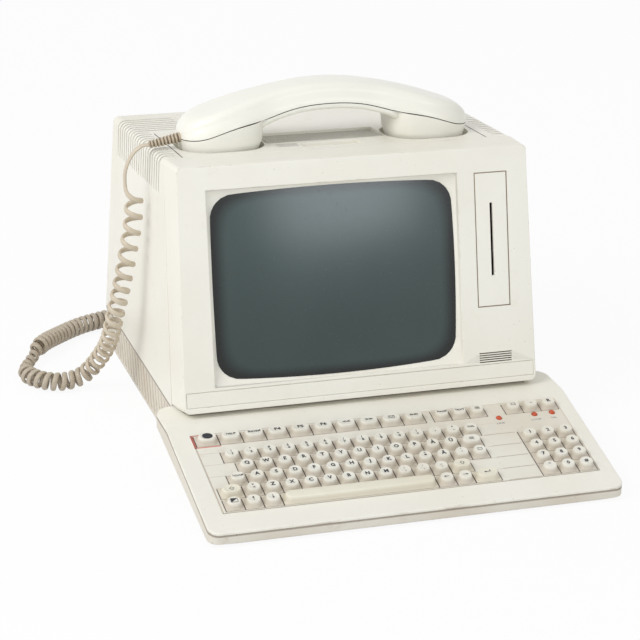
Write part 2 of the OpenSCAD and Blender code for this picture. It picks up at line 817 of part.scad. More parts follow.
module front_bezel() {
    color(ivory) intersection() {
        difference() {
            union() {
                on_face() difference() {
                    bezel_body(0, 0);
                    difference() {
                        bezel_body(wall, face_t);
                        mask_block();
                    }
                }
                at_glass() at_ears() translate([0, 0, face_t - band_at])
                    cylinder(h = band_at - face_t, d = ear_post);
            }
            at_glass() mask_funnel();
            at_glass() glass_face(run_gap, far);
            at_glass() at_ears() translate([0, 0, mask_deep - band_at]) cylinder(h = far, d = ear_pilot);
            on_face() plate_space(0);
            on_face() badge_space(0);
            on_face() card_slot(far, 0);
            on_face() grille_cut();
        }
        translate([-far, 0, deck_level + bezel_gap]) cube(2 * far);
    }
}

module plate_space(gap) {
    translate([card_plate_x - card_plate_w / 2 + gap, -1, card_plate_low + gap])
        cube([card_plate_w - 2 * gap, plate_t + 1, card_plate_h - 2 * gap]);
}

module badge_space(gap) {
    half = (face_low_w - (face_low_w - face_top_w) * badge_low / face_h) / 2 - badge_side - gap;
    translate([-half, -1, badge_low + gap]) cube([2 * half, badge_t + 1, badge_h - 2 * gap]);
}

module card_slot(deep, ease) {
    translate([card_plate_x - (card_slot_w + ease) / 2, -1, card_slot_low - ease / 2])
        cube([card_slot_w + ease, deep + 1, card_slot_len + ease]);
}

module grille_cut() {
    low = grille_up - ((grille_slits - 1) * grille_pitch + grille_slit) / 2;
    for (i = [0 : grille_slits - 1]) translate([card_plate_x - grille_w / 2, -1, low + i * grille_pitch])
        cube([grille_w, face_t + 2, grille_slit]);
}

module badge_strip() {
    color(ivory) on_face() intersection() {
        badge_space(fit_gap);
        front_half();
    }
}

module card_plate() {
    color(ivory) on_face() difference() {
        intersection() {
            plate_space(fit_gap);
            front_half();
        }
        card_slot(far, 0);
    }
}

module card_reader() {
    w = card_plate_w - 2 * card_side;
    color(dark) on_face() difference() {
        translate([card_plate_x - w / 2, face_t, card_slot_low - card_side])
            cube([w, card_deep, card_slot_len + 2 * card_side]);
        card_slot(card_deep - card_back, card_ease);
    }
}

module speaker() {
    magnet_d = speaker_d / 2;
    color(dark) on_face() translate([card_plate_x, face_t, speaker_up]) rotate([-90, 0, 0]) {
        difference() {
            cylinder(h = speaker_rim_h, d = speaker_d);
            translate([0, 0, -1]) cylinder(h = speaker_rim_h, d = speaker_d - 2 * speaker_rim);
        }
        translate([0, 0, speaker_rim_h])
            cylinder(h = speaker_cone_h, d1 = speaker_d - 2 * speaker_rim, d2 = magnet_d);
        translate([0, 0, speaker_rim_h + speaker_cone_h]) cylinder(h = speaker_magnet_h, d = magnet_d);
    }
}

// Rear cover body: rounded top edges, flanks that lean in, and a leaning back
module cover_body(inset, low) {
    half = (face_top_w + bezel_flare) / 2 - cover_r;
    hull() for (side = [-1, 1]) {
        for (y = [face_y, cover_back_y - cover_r])
            translate([side * half, y, top_z(y) - cover_r]) sphere(cover_r - inset, $fn = 32);
        for (y = [face_y, depth - corner_r])
            translate([side * (base_top_w / 2 - corner_r), y, low])
                cylinder(h = 1, r = corner_r - inset, $fn = 32);
    }
}

// Screw posts inside the rear cover, each tied to the flank by a web
module cover_posts() {
    reach = base_top_w / 2 - wall / 2 - post_x;
    at_spots(post_spots, post_meet + fit_gap) cylinder(h = cover_post, d = post_d);
    for (p = post_spots) translate([p[0] > 0 ? p[0] : p[0] - reach, p[1] - web_t / 2, base_h + fit_gap])
        cube([reach, web_t, web_h]);
}

module rear_cover() {
    color(ivory) difference() {
        union() {
            difference() {
                cover_body(0, base_h);
                cover_body(wall, base_h - sliver);
            }
            cover_posts();
        }
        on_face() translate([-far, bezel_deep + fit_gap - far, -far]) cube([2 * far, far, 2 * far]);
        at_spots(post_spots, 0)
            cylinder(h = base_low + screw_sunk + screw_len + 1, d = screw_d + 2 * fit_gap);
        for (side = [-1, 1], i = [0 : vent_count - 1]) vent(side, i);
        on_top() cradle_space(fit_gap, far);
    }
}

// One slit: from beside the cradle panel, over the edge and down the flank
module vent(side, i) {
    y = cradle_y + cradle_front + vent_first + i * vent_pitch * back_run;
    beside = y < cradle_y + cradle_waist + vent_clear ? cradle_w : cradle_narrow;
    inner = beside / 2 + vent_side;
    translate([side > 0 ? inner : -inner - far, y, top_z(y) - vent_drop]) cube([far, vent_w, far]);
}

// Plan of the cradle panel: wide round the wells, narrower behind
module cradle_space(gap, high) {
    translate([0, 0, -cradle_t - gap]) linear_extrude(cradle_t + gap + high) {
        translate([-cradle_w / 2 - gap, cradle_front - gap])
            square([cradle_w + 2 * gap, cradle_waist - cradle_front + 2 * gap]);
        translate([-cradle_narrow / 2 - gap, 0]) square([cradle_narrow + 2 * gap, cradle_back + gap]);
    }
}

module cup_plan(grow) {
    x = cup_len / 2 + grow;
    y = handset_w / 2 + grow;
    for (side = [-1, 1]) translate([side * cup_x, 0]) round_plan(-x, x, -y, y, cup_r, cup_r);
}

// Underside of the wells, the lane and the rest pocket
module cradle_backs() {
    translate([0, 0, -well_deep - wall]) linear_extrude(well_deep + wall) cup_plan(well_gap + wall);
    translate([-lane_w / 2 - wall, lane_front - wall, -lane_low - wall])
        cube([lane_w + 2 * wall, lane_back - lane_front + 2 * wall, lane_low + wall]);
    translate([-rest_w / 2 - wall, rest_front - wall, -rest_deep - wall])
        cube([rest_w + 2 * wall, rest_len + 2 * wall, rest_deep + wall]);
}

module cradle_panel() {
    step = (lane_back - lane_front) / lane_grooves;
    color(ivory) on_top() difference() {
        union() {
            cradle_space(0, 0);
            cradle_backs();
        }
        translate([0, 0, -well_deep]) linear_extrude(far) cup_plan(well_gap);
        rotate([90, 0, 90]) linear_extrude(lane_w, center = true)
            polygon([[lane_front, sliver], [lane_back, sliver], [lane_back, -lane_low]]);
        for (i = [0.5 : lane_grooves])
            translate([-lane_w / 2, lane_front + i * step, -i / lane_grooves * lane_low - lane_groove_deep])
                cube([lane_w, lane_groove_w, far]);
        translate([-rest_w / 2, rest_front, -rest_deep]) cube([rest_w, rest_len, far]);
        translate([cup_x, 0, -far / 2]) cylinder(h = far, d = hook_stem + 2 * run_gap);
        translate([cup_x, 0, -well_deep - hook_head]) cylinder(h = far, d = hook_d + 2 * run_gap);
    }
}

// Plunger flush with the right-hand well's floor while the handset holds it down
module hook_plunger() {
    color(dark) on_top() translate([cup_x, 0, -well_deep]) {
        translate([0, 0, fit_gap - hook_head]) cylinder(h = hook_head - fit_gap, d = hook_d);
        translate([0, 0, -hook_head - hook_under]) cylinder(h = hook_head + hook_under, d = hook_stem);
    }
}

module picture_tube() {
    color(dark) at_glass() {
        glass_face(0, tube_side);
        hull() {
            glass_prism(-1, tube_side - 1, tube_side);
            translate([0, 0, tube_back - neck_len - neck_root]) cylinder(h = neck_root, d = neck_root_d);
        }
        translate([0, 0, tube_side]) cylinder(h = tube_back - tube_side, d = neck_d);
    }
}

module tube_band() {
    color(steel) at_glass() difference() {
        union() {
            glass_prism(band_t, band_at, band_at + band_deep);
            at_ears() cylinder(h = ear_t, d = ear_w);
        }
        glass_prism(0, 0, far);
        at_ears() translate([0, 0, -1]) cylinder(h = far, d = ear_hole);
    }
}

module deflection_yoke() {
    color(copper) at_glass() translate([0, 0, yoke_at]) difference() {
        union() {
            cylinder(h = yoke_len / 2, d1 = yoke_wide, d2 = yoke_narrow);
            cylinder(h = yoke_len, d = yoke_core);
        }
        translate([0, 0, -1]) cylinder(h = yoke_len + 2, d = neck_d + 2 * fit_gap);
    }
}

module neck_board() {
    color(board_green) at_glass() translate([0, 0, neck_plate_at]) difference() {
        union() {
            translate([-neck_plate / 2, -neck_plate / 2, 0]) cube([neck_plate, neck_plate, board_t]);
            cylinder(h = neck_cap_h, d = neck_root_d);
        }
        translate([0, 0, -1]) cylinder(h = far, d = neck_d + 2 * fit_gap);
    }
}

module main_board() {
    color(board_green) translate([-main_w / 2, main_front, main_up]) cube([main_w, main_len, board_t]);
}

module flyback_transformer() {
    color(dark) translate([flyback_at[0], flyback_at[1], main_up + board_t]) {
        translate([-flyback[0] / 2, -flyback[1] / 2, 0]) cube(flyback);
        translate([0, 0, flyback[2]]) cylinder(h = flyback_coil_h, d = flyback_d);
    }
}

module phone_sockets() {
    color(dark) for (x = socket_x) difference() {
        socket_space(x, socket, 0);
        plug_space(x, fit_gap);
    }
}

module plug_space(x, gap) {
    translate([x - plug[0] / 2 - gap, depth - plug_in - gap, socket_z - plug[2] / 2 - gap])
        cube([plug[0] + 2 * gap, plug[1] + gap, plug[2] + 2 * gap]);
}

module cord_plug() {
    color(clear_grey) plug_space(socket_x[0], 0);
}

module mains_inlet() {
    mouth = [inlet[0] - 2 * inlet_wall, inlet[2] - 2 * inlet_wall];
    color(dark) difference() {
        socket_space(inlet_x, inlet, 0);
        translate([inlet_x - mouth[0] / 2, depth - inlet_deep, socket_z - mouth[1] / 2])
            cube([mouth[0], far, mouth[1]]);
    }
}

// Handset body over the housing's top: a plan cut by a crowned back
module handset_body(inset, low) {
    intersection() {
        translate([0, 0, low]) linear_extrude(far) {
            cup_plan(-inset);
            translate([-cup_x, inset - grip_w / 2]) square([2 * cup_x, grip_w - 2 * inset]);
        }
        translate([0, 0, handset_h - crown_r]) rotate([90, 0, 0]) rotate_extrude($fn = 180) {
            translate([0, -crown_flat]) square([crown_r - inset, 2 * crown_flat]);
            for (y = [-crown_flat, crown_flat])
                translate([crown_r - crown_edge, y]) circle(crown_edge - inset);
            translate([0, inset - crown_half]) square([crown_r - crown_edge, 2 * (crown_half - inset)]);
        }
    }
}

// Drum that lies across the handset with its crest at a height over the housing's top
module drum(r, crest) {
    translate([0, 0, crest - r]) rotate([90, 0, 0]) cylinder(r = r, h = far, center = true, $fn = 180);
}

// Everything under the seam between the two shells
module under_seam(shift) {
    drum(seam_r, seam_mid + shift);
    translate([-far / 2, -far / 2, seam_end + shift - far]) cube(far);
}

// Space for the fingers under the grip
module finger_gap(grow) {
    difference() {
        intersection() {
            drum(seam_r - grip_under + grow, seam_mid - grip_under + grow);
            translate([-cup_x, -far / 2, -far / 2]) cube([2 * cup_x, far, far]);
        }
        translate([0, 0, -far / 2]) linear_extrude(far) cup_plan(-grow);
    }
}

module boot_axis() {
    translate([-handset_len / 2, boot_y, boot_up]) rotate([0, -90 - boot_tilt, 0]) children();
}

module boot_bore() {
    boot_axis() cylinder(h = boot_hole, d = boot_thick + 2 * fit_gap, center = true);
}

module handset_back() {
    color(ivory) on_top() difference() {
        handset_body(0, -cup_sink);
        under_seam(seam_gap);
        handset_body(wall, -cup_sink);
        boot_bore();
    }
}

module handset_front() {
    color(ivory) on_top() difference() {
        intersection() {
            handset_body(0, -cup_sink);
            under_seam(0);
        }
        finger_gap(0);
        difference() {
            handset_body(wall, wall - cup_sink);
            finger_gap(wall);
        }
        for (side = [-1, 1]) translate([side * cup_x, 0, -far / 2]) sound_holes();
        boot_bore();
    }
}

module sound_holes() {
    cylinder(h = far / 2, d = sound_hole);
    for (i = [0 : 5]) rotate(i * 60) translate([sound_ring, 0, 0]) cylinder(h = far / 2, d = sound_hole);
}

module capsule(side) {
    color(dark) on_top() translate([side * cup_x, 0, wall - cup_sink]) {
        cylinder(h = capsule_h, d = capsule_d);
        cylinder(h = capsule_hub_h, d = capsule_d / 2);
    }
}

module ear_receiver() { capsule(1); }
module mouth_microphone() { capsule(-1); }

// Tapered strain relief with ribs, held in the seam at the handset's left end
module cord_boot() {
    step = (boot_len - boot_rib_first) / boot_ribs;
    taper = (boot_thick - boot_thin) / boot_ribs;
    color(taupe) on_top() boot_axis() {
        translate([0, 0, -wall])
            cylinder(h = wall + boot_len, d1 = boot_thick - boot_core, d2 = boot_thin - boot_core);
        translate([0, 0, -wall]) cylinder(h = wall + boot_collar, d = boot_thick);
        translate([0, 0, -wall - boot_hook]) cylinder(h = boot_hook, d = boot_thick - boot_core);
        for (i = [0 : boot_ribs - 1]) translate([0, 0, boot_rib_first + i * step])
            cylinder(h = step * boot_rib_share, d = boot_thick - taper * i);
    }
}

// Cord: a middle line through the route, curls round it, and a tube along the curls
function bend(a, b, c, d, t) = 0.5 * (2 * b + (c - a) * t + (2 * a - 5 * b + 4 * c - d) * t * t
    + (3 * b - a - 3 * c + d) * t * t * t);
last_stop = len(cord_route) - 1;
function stop(i) = cord_route[max(0, min(last_stop, i))];
line = [for (i = [0 : last_stop - 1], j = [0 : route_steps - 1])
    bend(stop(i - 1), stop(i), stop(i + 1), stop(i + 2), j / route_steps)];
middle = concat(line, [cord_route[last_stop]]);
last_point = len(middle) - 1;
function stretch(i) = norm(middle[min(i + 1, last_point)] - middle[i]);
stations = [for (i = 0, s = 0; i <= last_point; s = s + stretch(i), i = i + 1) s];
line_x = [for (i = [0 : last_point]) [stations[i], middle[i][0]]];
line_y = [for (i = [0 : last_point]) [stations[i], middle[i][1]]];
line_z = [for (i = [0 : last_point]) [stations[i], middle[i][2]]];
cord_run = stations[last_point];
function core(s) = [lookup(s, line_x), lookup(s, line_y), lookup(s, line_z)];
function unit(v) = v / norm(v);
function heading(s) = unit(core(min(s + 1, cord_run)) - core(max(s - 1, 0)));
function curl_pitch(s) = lookup(s, [[curl_ease, loose_pitch], [curl_hang, tight_pitch + hang_slack],
    [curl_land, tight_pitch + land_slack], [curl_bend, tight_pitch + bend_slack], [curl_rest, tight_pitch]]);
curl_table = [for (s = curl_start, c = 0; s <= cord_run - curl_tail;
    c = c + curl_step / curl_pitch(s), s = s + curl_step) [c, s]];
curls = floor(curl_table[len(curl_table) - 1][0]);
curl_rings = curls * rings_per_curl;
lead_rings = floor(curl_start / lead_step);
tail_start = lookup(curls, curl_table);
tail_rings = floor((cord_run - tail_start) / lead_step);

// Each ring is [distance along the route, angle in degrees, curl radius]
curl_radius = (curl_d - cord_t) / 2;
function ramp(c) = min(1, c / curl_ramp, (curls - c) / curl_ramp);
lead = [for (i = [0 : lead_rings - 1]) [i * curl_start / lead_rings, 0, 0]];
wound = [for (i = [0 : curl_rings]) let (c = i / rings_per_curl, r = ramp(c))
    [lookup(c, curl_table), 360 * c, curl_radius * r * r * (3 - 2 * r)]];
tail = [for (i = [1 : tail_rings]) [tail_start + i * (cord_run - tail_start) / tail_rings, 360 * curls, 0]];
cord_rings = concat(lead, wound, tail);
last_ring = len(cord_rings) - 1;

// Directions across the route, carried along it without twist
function squared(n, t) = unit(n - (n * t) * t);
first_side = squared([0, 1, 0], heading(0));
side_list = [for (i = 0, n = first_side; i <= last_ring; i = i + 1,
    n = squared(n, heading(cord_rings[min(i, last_ring)][0]))) n];
function outward(i) = let (n = side_list[i], b = cross(heading(cord_rings[i][0]), n), a = cord_rings[i][1])
    cos(a) * n - sin(a) * b;
wire = [for (i = [0 : last_ring]) core(cord_rings[i][0]) + cord_rings[i][2] * outward(i)];
function wire_heading(i) = i == 0 ? heading(0) : i == last_ring ? heading(cord_run)
    : unit(wire[i + 1] - wire[i - 1]);
function wire_ring(i) = let (t = wire_heading(i), e = squared(outward(i), t), f = cross(t, e))
    [for (j = [0 : cord_sides - 1]) let (a = 360 * j / cord_sides)
        wire[i] + cord_t / 2 * cos(a) * e + cord_d / 2 * sin(a) * f];

// Least gap between one curl and the next ones, measured between points of the wire
function least_gap() = min([for (i = [lead_rings : last_ring], j = [i + 6 : min(i + 40, last_ring)])
    norm(wire[i] - wire[j])]) - cord_d;

module handset_cord() {
    n = cord_sides;
    top = last_ring * n;
    points = [for (i = [0 : last_ring]) each wire_ring(i)];
    walls = [for (i = [0 : last_ring - 1], j = [0 : n - 1]) let (a = i * n + j, b = i * n + (j + 1) % n)
        each [[a, a + n, b], [b, a + n, b + n]]];
    ends = [for (j = [1 : n - 2]) each [[0, j, j + 1], [top, top + j + 1, top + j]]];
    echo(curls = curls, least_gap = least_gap(), triangles = len(walls) + len(ends));
    color(taupe) polyhedron(points, concat(walls, ends));
}

stand() base_tray();
stand() rubber_feet();
stand() case_screws();
stand() deck_cover();
stand() key_panel();
stand() contact_mat();
stand() keyboard_board();
stand() signal_lamps();
stand() home_key();
stand() function_keys();
for (i = [0 : 2]) stand() screen_key(i);
for (i = [0 : 2]) stand() call_key(i);
stand() number_keys();
stand() upper_letter_keys();
stand() middle_letter_keys();
stand() lower_letter_keys();
stand() left_shift_key();
stand() right_shift_key();
stand() cursor_keys();
stand() space_bar();
stand() return_key();
for (i = [0 : 11]) stand() keypad_key(i);
stand() front_bezel();
stand() badge_strip();
stand() card_plate();
stand() card_reader();
stand() speaker();
stand() rear_cover();
stand() cradle_panel();
stand() hook_plunger();
stand() picture_tube();
stand() tube_band();
stand() deflection_yoke();
stand() neck_board();
stand() main_board();
stand() flyback_transformer();
stand() phone_sockets();
stand() mains_inlet();
stand() handset_back();
stand() handset_front();
stand() ear_receiver();
stand() mouth_microphone();
stand() cord_boot();
stand() handset_cord();
stand() cord_plug();
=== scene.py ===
# %% [markdown]
# # A desktop data terminal
# The real thing is a moulded ivory machine: a leaning picture tube housing, a sloping keyboard deck
# and a telephone handset that lies across the top on a curly cord. The solids come in already sized
# and placed. This lesson dresses them: pieces that are right are copied and get soft edges, pieces
# that need more form are modelled again, and each surface gets a finish made of nodes.

# %% Load the frame
import math
import bmesh
import bpy
from mathutils import Matrix, Vector


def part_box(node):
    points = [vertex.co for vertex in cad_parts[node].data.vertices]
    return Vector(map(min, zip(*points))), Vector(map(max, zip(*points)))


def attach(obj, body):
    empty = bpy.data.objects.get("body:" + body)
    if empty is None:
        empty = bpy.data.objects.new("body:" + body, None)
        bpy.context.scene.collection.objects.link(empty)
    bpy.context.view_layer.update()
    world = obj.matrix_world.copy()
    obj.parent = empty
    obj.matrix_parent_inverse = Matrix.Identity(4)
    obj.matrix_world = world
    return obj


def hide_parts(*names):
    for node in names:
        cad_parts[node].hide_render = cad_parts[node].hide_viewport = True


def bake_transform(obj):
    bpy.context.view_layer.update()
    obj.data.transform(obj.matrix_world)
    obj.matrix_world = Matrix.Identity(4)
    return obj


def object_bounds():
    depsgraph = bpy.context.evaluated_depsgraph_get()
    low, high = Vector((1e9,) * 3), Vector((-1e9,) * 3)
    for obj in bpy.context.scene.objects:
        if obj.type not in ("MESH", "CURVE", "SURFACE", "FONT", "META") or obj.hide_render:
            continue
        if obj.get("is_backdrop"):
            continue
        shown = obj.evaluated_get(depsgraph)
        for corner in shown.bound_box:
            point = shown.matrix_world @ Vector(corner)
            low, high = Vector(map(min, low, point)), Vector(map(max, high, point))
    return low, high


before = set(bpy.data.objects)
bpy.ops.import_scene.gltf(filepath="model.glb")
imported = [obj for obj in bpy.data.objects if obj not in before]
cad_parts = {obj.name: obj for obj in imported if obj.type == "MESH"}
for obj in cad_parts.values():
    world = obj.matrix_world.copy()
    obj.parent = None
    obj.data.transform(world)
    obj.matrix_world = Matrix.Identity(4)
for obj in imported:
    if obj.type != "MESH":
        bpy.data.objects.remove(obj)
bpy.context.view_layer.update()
scene = bpy.context.scene
scene.view_settings.view_transform = "Standard"

# %% [markdown]
# ## Camera
# A long lens almost two metres away keeps the sides close to parallel. The camera's axes are written
# as three directions, which is easier to check than three angles: a camera looks along its own -Z.

# %% Camera
LOOK = Vector((0.29929, 0.87776, -0.37412)).normalized()
RIGHT = Vector((0.95022, -0.30981, 0.03329)).normalized()
UP = RIGHT.cross(LOOK)
STAND = Vector((-0.56775, -1.61062, 0.77238))
camera = bpy.data.objects.new("camera", bpy.data.cameras.new("camera"))
scene.collection.objects.link(camera)
camera.matrix_world = Matrix.Translation(STAND) @ Matrix((RIGHT, UP, -LOOK)).transposed().to_4x4()
camera.data.sensor_width = 36
camera.data.sensor_fit = "HORIZONTAL"
camera.data.lens = 131.5
camera.data.clip_end = 50
scene.camera = camera
print("camera at", [round(v, 3) for v in camera.location], "lens", camera.data.lens)

# %% [markdown]
# ## Places to work in
# The deck, the front face and the housing's top are all tilted. Instead of turning objects, each
# tilted plane has a matrix, and a mesh is moved through it, so every object stays at the origin.

# %% Sloping planes and small helpers
MM = 0.001
HALF_DEPTH = 0.194
DECK_SLOPE, FACE_LEAN, TOP_SLOPE = 12.3, 14.1, 5.2


def tilted(x, y, z, slope):
    return Matrix.Translation((x, y - HALF_DEPTH, z)) @ Matrix.Rotation(math.radians(slope), 4, "X")


DECK = tilted(0, 0, 0.0121, DECK_SLOPE)
FACE = tilted(0, 0.135, 0.0431, -FACE_LEAN)
TOP = tilted(-0.0029, 0.250, 0.21765, -TOP_SLOPE)


def make_piece(name, bm, body, materials, replaces=(), smooth_angle=40):
    """Turns a bmesh in metres into a piece that rides on a body."""
    mesh = bpy.data.meshes.new(name)
    bm.to_mesh(mesh)
    bm.free()
    for leftover in ("custom_normal", "sharp_face", "sharp_edge"):
        if leftover in mesh.attributes:
            mesh.attributes.remove(mesh.attributes[leftover])
    mesh.shade_smooth()
    mesh.set_sharp_from_angle(angle=math.radians(smooth_angle))
    for material in materials:
        mesh.materials.append(material)
    piece = bpy.data.objects.new(name, mesh)
    scene.collection.objects.link(piece)
    if body:
        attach(piece, body)
    if replaces:
        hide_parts(*replaces)
    print(name, sum(len(p.vertices) - 2 for p in mesh.polygons), "triangles")
    return piece


print("deck slope", DECK_SLOPE, "face lean", FACE_LEAN, "top slope", TOP_SLOPE)

# %% [markdown]
# ## Shader groups
# Old ivory plastic is never one colour. It yellows in clouds, collects specks of dirt and wears along
# its edges. Those three effects are made once as a node group and placed in each material with its own
# values. The group reads Object coordinates, so the pattern stays on the piece when it moves, and a
# face attribute called edge, which is 1 on the rounded edges of a piece.

# %% Helpers for nodes
def link(tree, a, b):
    tree.links.new(a, b)


def noise(tree, vector, scale, detail=2.0, rough=0.5):
    node = tree.nodes.new("ShaderNodeTexNoise")
    node.inputs["Scale"].default_value = scale
    node.inputs["Detail"].default_value = detail
    node.inputs["Roughness"].default_value = rough
    link(tree, vector, node.inputs["Vector"])
    return node.outputs["Fac"]


def spread(tree, value, low, high, to_low=0.0, to_high=1.0):
    node = tree.nodes.new("ShaderNodeMapRange")
    node.interpolation_type = "SMOOTHSTEP"
    for title, number in (("From Min", low), ("From Max", high), ("To Min", to_low), ("To Max", to_high)):
        node.inputs[title].default_value = number
    link(tree, value, node.inputs["Value"])
    return node.outputs["Result"]


def feed(tree, value, socket):
    """Sets a number or a colour on a socket, or links another node's output to it."""
    if isinstance(value, (int, float)):
        socket.default_value = value
    elif isinstance(value, tuple):
        socket.default_value = (*value, 1)
    else:
        link(tree, value, socket)


def maths(tree, operation, a, b):
    node = tree.nodes.new("ShaderNodeMath")
    node.operation = operation
    feed(tree, a, node.inputs[0])
    feed(tree, b, node.inputs[1])
    return node.outputs[0]


def mix(tree, share, a, b):
    node = tree.nodes.new("ShaderNodeMix")
    node.data_type = "RGBA"
    for value, number in ((share, 0), (a, 6), (b, 7)):
        feed(tree, value, node.inputs[number])
    return node.outputs[2]


# %% Aged plastic group
aged = bpy.data.node_groups.new("aged plastic", "ShaderNodeTree")
for way, kind, titles in (("INPUT", "Vector", ["Vector"]), ("INPUT", "Color", ["Clean", "Stain"]),
                          ("INPUT", "Float", ["Yellowing", "Specks", "Edge Wear", "Gloss", "Grain"]),
                          ("OUTPUT", "Color", ["Color"]), ("OUTPUT", "Float", ["Roughness", "Height"])):
    for title in titles:
        aged.interface.new_socket(name=title, in_out=way, socket_type="NodeSocket" + kind)
ins, outs = aged.nodes.new("NodeGroupInput"), aged.nodes.new("NodeGroupOutput")
DIRT, BARE = (0.17, 0.115, 0.06), (0.36, 0.29, 0.19)
place = ins.outputs["Vector"]
clouds = spread(aged, noise(aged, place, 11, 4), 0.35, 0.72)
smudge = spread(aged, noise(aged, place, 75, 5, 0.62), 0.5, 0.78)
yellow = maths(aged, "MULTIPLY", maths(aged, "MAXIMUM", clouds, smudge), ins.outputs["Yellowing"])
tone = mix(aged, yellow, ins.outputs["Clean"], ins.outputs["Stain"])
dots = maths(aged, "MULTIPLY", spread(aged, noise(aged, place, 520, 1.5), 0.70, 0.78),
             spread(aged, noise(aged, place, 26, 3), 0.45, 0.62))
dirty = mix(aged, maths(aged, "MULTIPLY", dots, ins.outputs["Specks"]), tone, DIRT)
edge = aged.nodes.new("ShaderNodeAttribute")
edge.attribute_name = "edge"
rough_patches = spread(aged, noise(aged, place, 95, 7, 0.72), 0.52, 0.74)
chips = maths(aged, "MULTIPLY", edge.outputs["Fac"], rough_patches)
worn = mix(aged, maths(aged, "MULTIPLY", chips, ins.outputs["Edge Wear"]), dirty, BARE)
link(aged, worn, outs.inputs["Color"])
sheen = maths(aged, "ADD", ins.outputs["Gloss"], maths(aged, "MULTIPLY", smudge, 0.14))
link(aged, sheen, outs.inputs["Roughness"])
grain = maths(aged, "MULTIPLY", noise(aged, place, 1900, 2), ins.outputs["Grain"])
link(aged, grain, outs.inputs["Height"])
print("group", aged.name, "with", len(aged.nodes), "nodes")

# %% [markdown]
# ## Materials from the group
# A material is then only a few values: a clean colour, the colour that it ages to, and how far each
# effect goes. Constant numbers are set on the shader itself, and only what changes over the surface
# comes through the group.

# %% Moulded plastics
def shader_of(material):
    return next(n for n in material.node_tree.nodes if n.type == "BSDF_PRINCIPLED")


def new_material(name):
    """A material with its node tree, its shader and the piece's own coordinates."""
    material = bpy.data.materials.new(name)
    material.use_nodes = True
    tree = material.node_tree
    return material, tree, shader_of(material), tree.nodes.new("ShaderNodeTexCoord").outputs["Object"]


def in_plane(tree, vector, place):
    """X, Y and Z in a tilted plane's own frame."""
    node = tree.nodes.new("ShaderNodeMapping")
    node.vector_type = "TEXTURE"
    node.inputs["Location"].default_value = place.to_translation()
    node.inputs["Rotation"].default_value = place.to_euler()
    link(tree, vector, node.inputs["Vector"])
    parts = tree.nodes.new("ShaderNodeSeparateXYZ")
    link(tree, node.outputs["Vector"], parts.inputs["Vector"])
    return parts.outputs


SEAM_LOW, SEAM_RISE, SEAM_END_Y = 0.0096, 0.218, -0.072


def over_seam(tree, vector):
    """Height over the joint between the deck and the base, which climbs with the deck."""
    parts = in_plane(tree, vector, Matrix())
    along = maths(tree, "ADD", maths(tree, "MINIMUM", parts["Y"], SEAM_END_Y), HALF_DEPTH)
    seam = maths(tree, "ADD", maths(tree, "MULTIPLY", along, SEAM_RISE), SEAM_LOW)
    return maths(tree, "SUBTRACT", parts["Z"], seam)


def joint_dirt(tree, vector):
    return spread(tree, over_seam(tree, vector), -0.0014, -0.0006, 0.0, 0.65)


def rim_dirt(tree, vector):
    patch = spread(tree, noise(tree, vector, 38, 4, 0.6), 0.44, 0.66, 0.06, 0.6)
    return maths(tree, "MULTIPLY", patch, spread(tree, over_seam(tree, vector), 0.0026, 0.0006))


# Painted shade: a key turns darker from its crown down its wall to the plate.
def key_wall_shade(tree, vector):
    return spread(tree, in_plane(tree, vector, DECK)["Z"], 0.0050, 0.0020, 0.0, 0.75)


# The cord turns darker where it lies close to the table.
def darker_near_table(tree, vector):
    return spread(tree, in_plane(tree, vector, Matrix())["Z"], 0.030, 0.012, 0.0, 0.55)


GRAIN_DEEP, GRAIN_STRENGTH = 0.00004, 0.35


def moulded(name, clean, stain, yellowing, specks, wear, gloss, grain, dirt_and_shade_mask=None, dirt_and_shade_colour=None):
    material, tree, shader, coords = new_material(name)
    group = tree.nodes.new("ShaderNodeGroup")
    group.node_tree = aged
    for socket, value in zip(group.inputs, (coords, clean, stain, yellowing, specks, wear, gloss, grain)):
        feed(tree, value, socket)
    relief = tree.nodes.new("ShaderNodeBump")
    relief.inputs["Strength"].default_value = GRAIN_STRENGTH
    relief.inputs["Distance"].default_value = GRAIN_DEEP
    link(tree, group.outputs["Height"], relief.inputs["Height"])
    colour = group.outputs["Color"]
    # The extra mask is dirt on the deck and base, painted shade on the keys' walls, and a darkening of the
    # cord near the table.
    if dirt_and_shade_mask:
        colour = mix(tree, dirt_and_shade_mask(tree, coords), colour, dirt_and_shade_colour)
    link(tree, colour, shader.inputs["Base Color"])
    link(tree, group.outputs["Roughness"], shader.inputs["Roughness"])
    link(tree, relief.outputs["Normal"], shader.inputs["Normal"])
    material.diffuse_color = (*clean, 1)
    return material


case_ivory = moulded("case ivory", (0.855, 0.835, 0.757), (0.795, 0.755, 0.645), 0.45, 0.3, 0.4, 0.40, 1.0)
deck_ivory = moulded("deck ivory", (0.86, 0.84, 0.765), (0.80, 0.76, 0.655), 0.45, 0.5, 0.4, 0.40, 1.0,
                     dirt_and_shade_mask=rim_dirt, dirt_and_shade_colour=(0.40, 0.31, 0.22))
base_ivory = moulded("base ivory", (0.74, 0.70, 0.615), (0.60, 0.53, 0.43), 0.7, 1.0, 0.5, 0.46, 1.0,
                     dirt_and_shade_mask=joint_dirt, dirt_and_shade_colour=(0.16, 0.11, 0.07))
panel_ivory = moulded("panel ivory", (0.81, 0.785, 0.705), (0.66, 0.60, 0.48), 0.6, 0.6, 0.5, 0.44, 1.0)
key_ivory = moulded("key ivory", (0.83, 0.81, 0.73), (0.70, 0.64, 0.51), 0.4, 0.35, 0.5, 0.36, 0.6,
                    dirt_and_shade_mask=key_wall_shade, dirt_and_shade_colour=(0.56, 0.49, 0.40))
key_cream = moulded("key cream", (0.82, 0.785, 0.665), (0.70, 0.635, 0.48), 0.45, 0.35, 0.5, 0.36, 0.6,
                    dirt_and_shade_mask=key_wall_shade, dirt_and_shade_colour=(0.66, 0.60, 0.48))
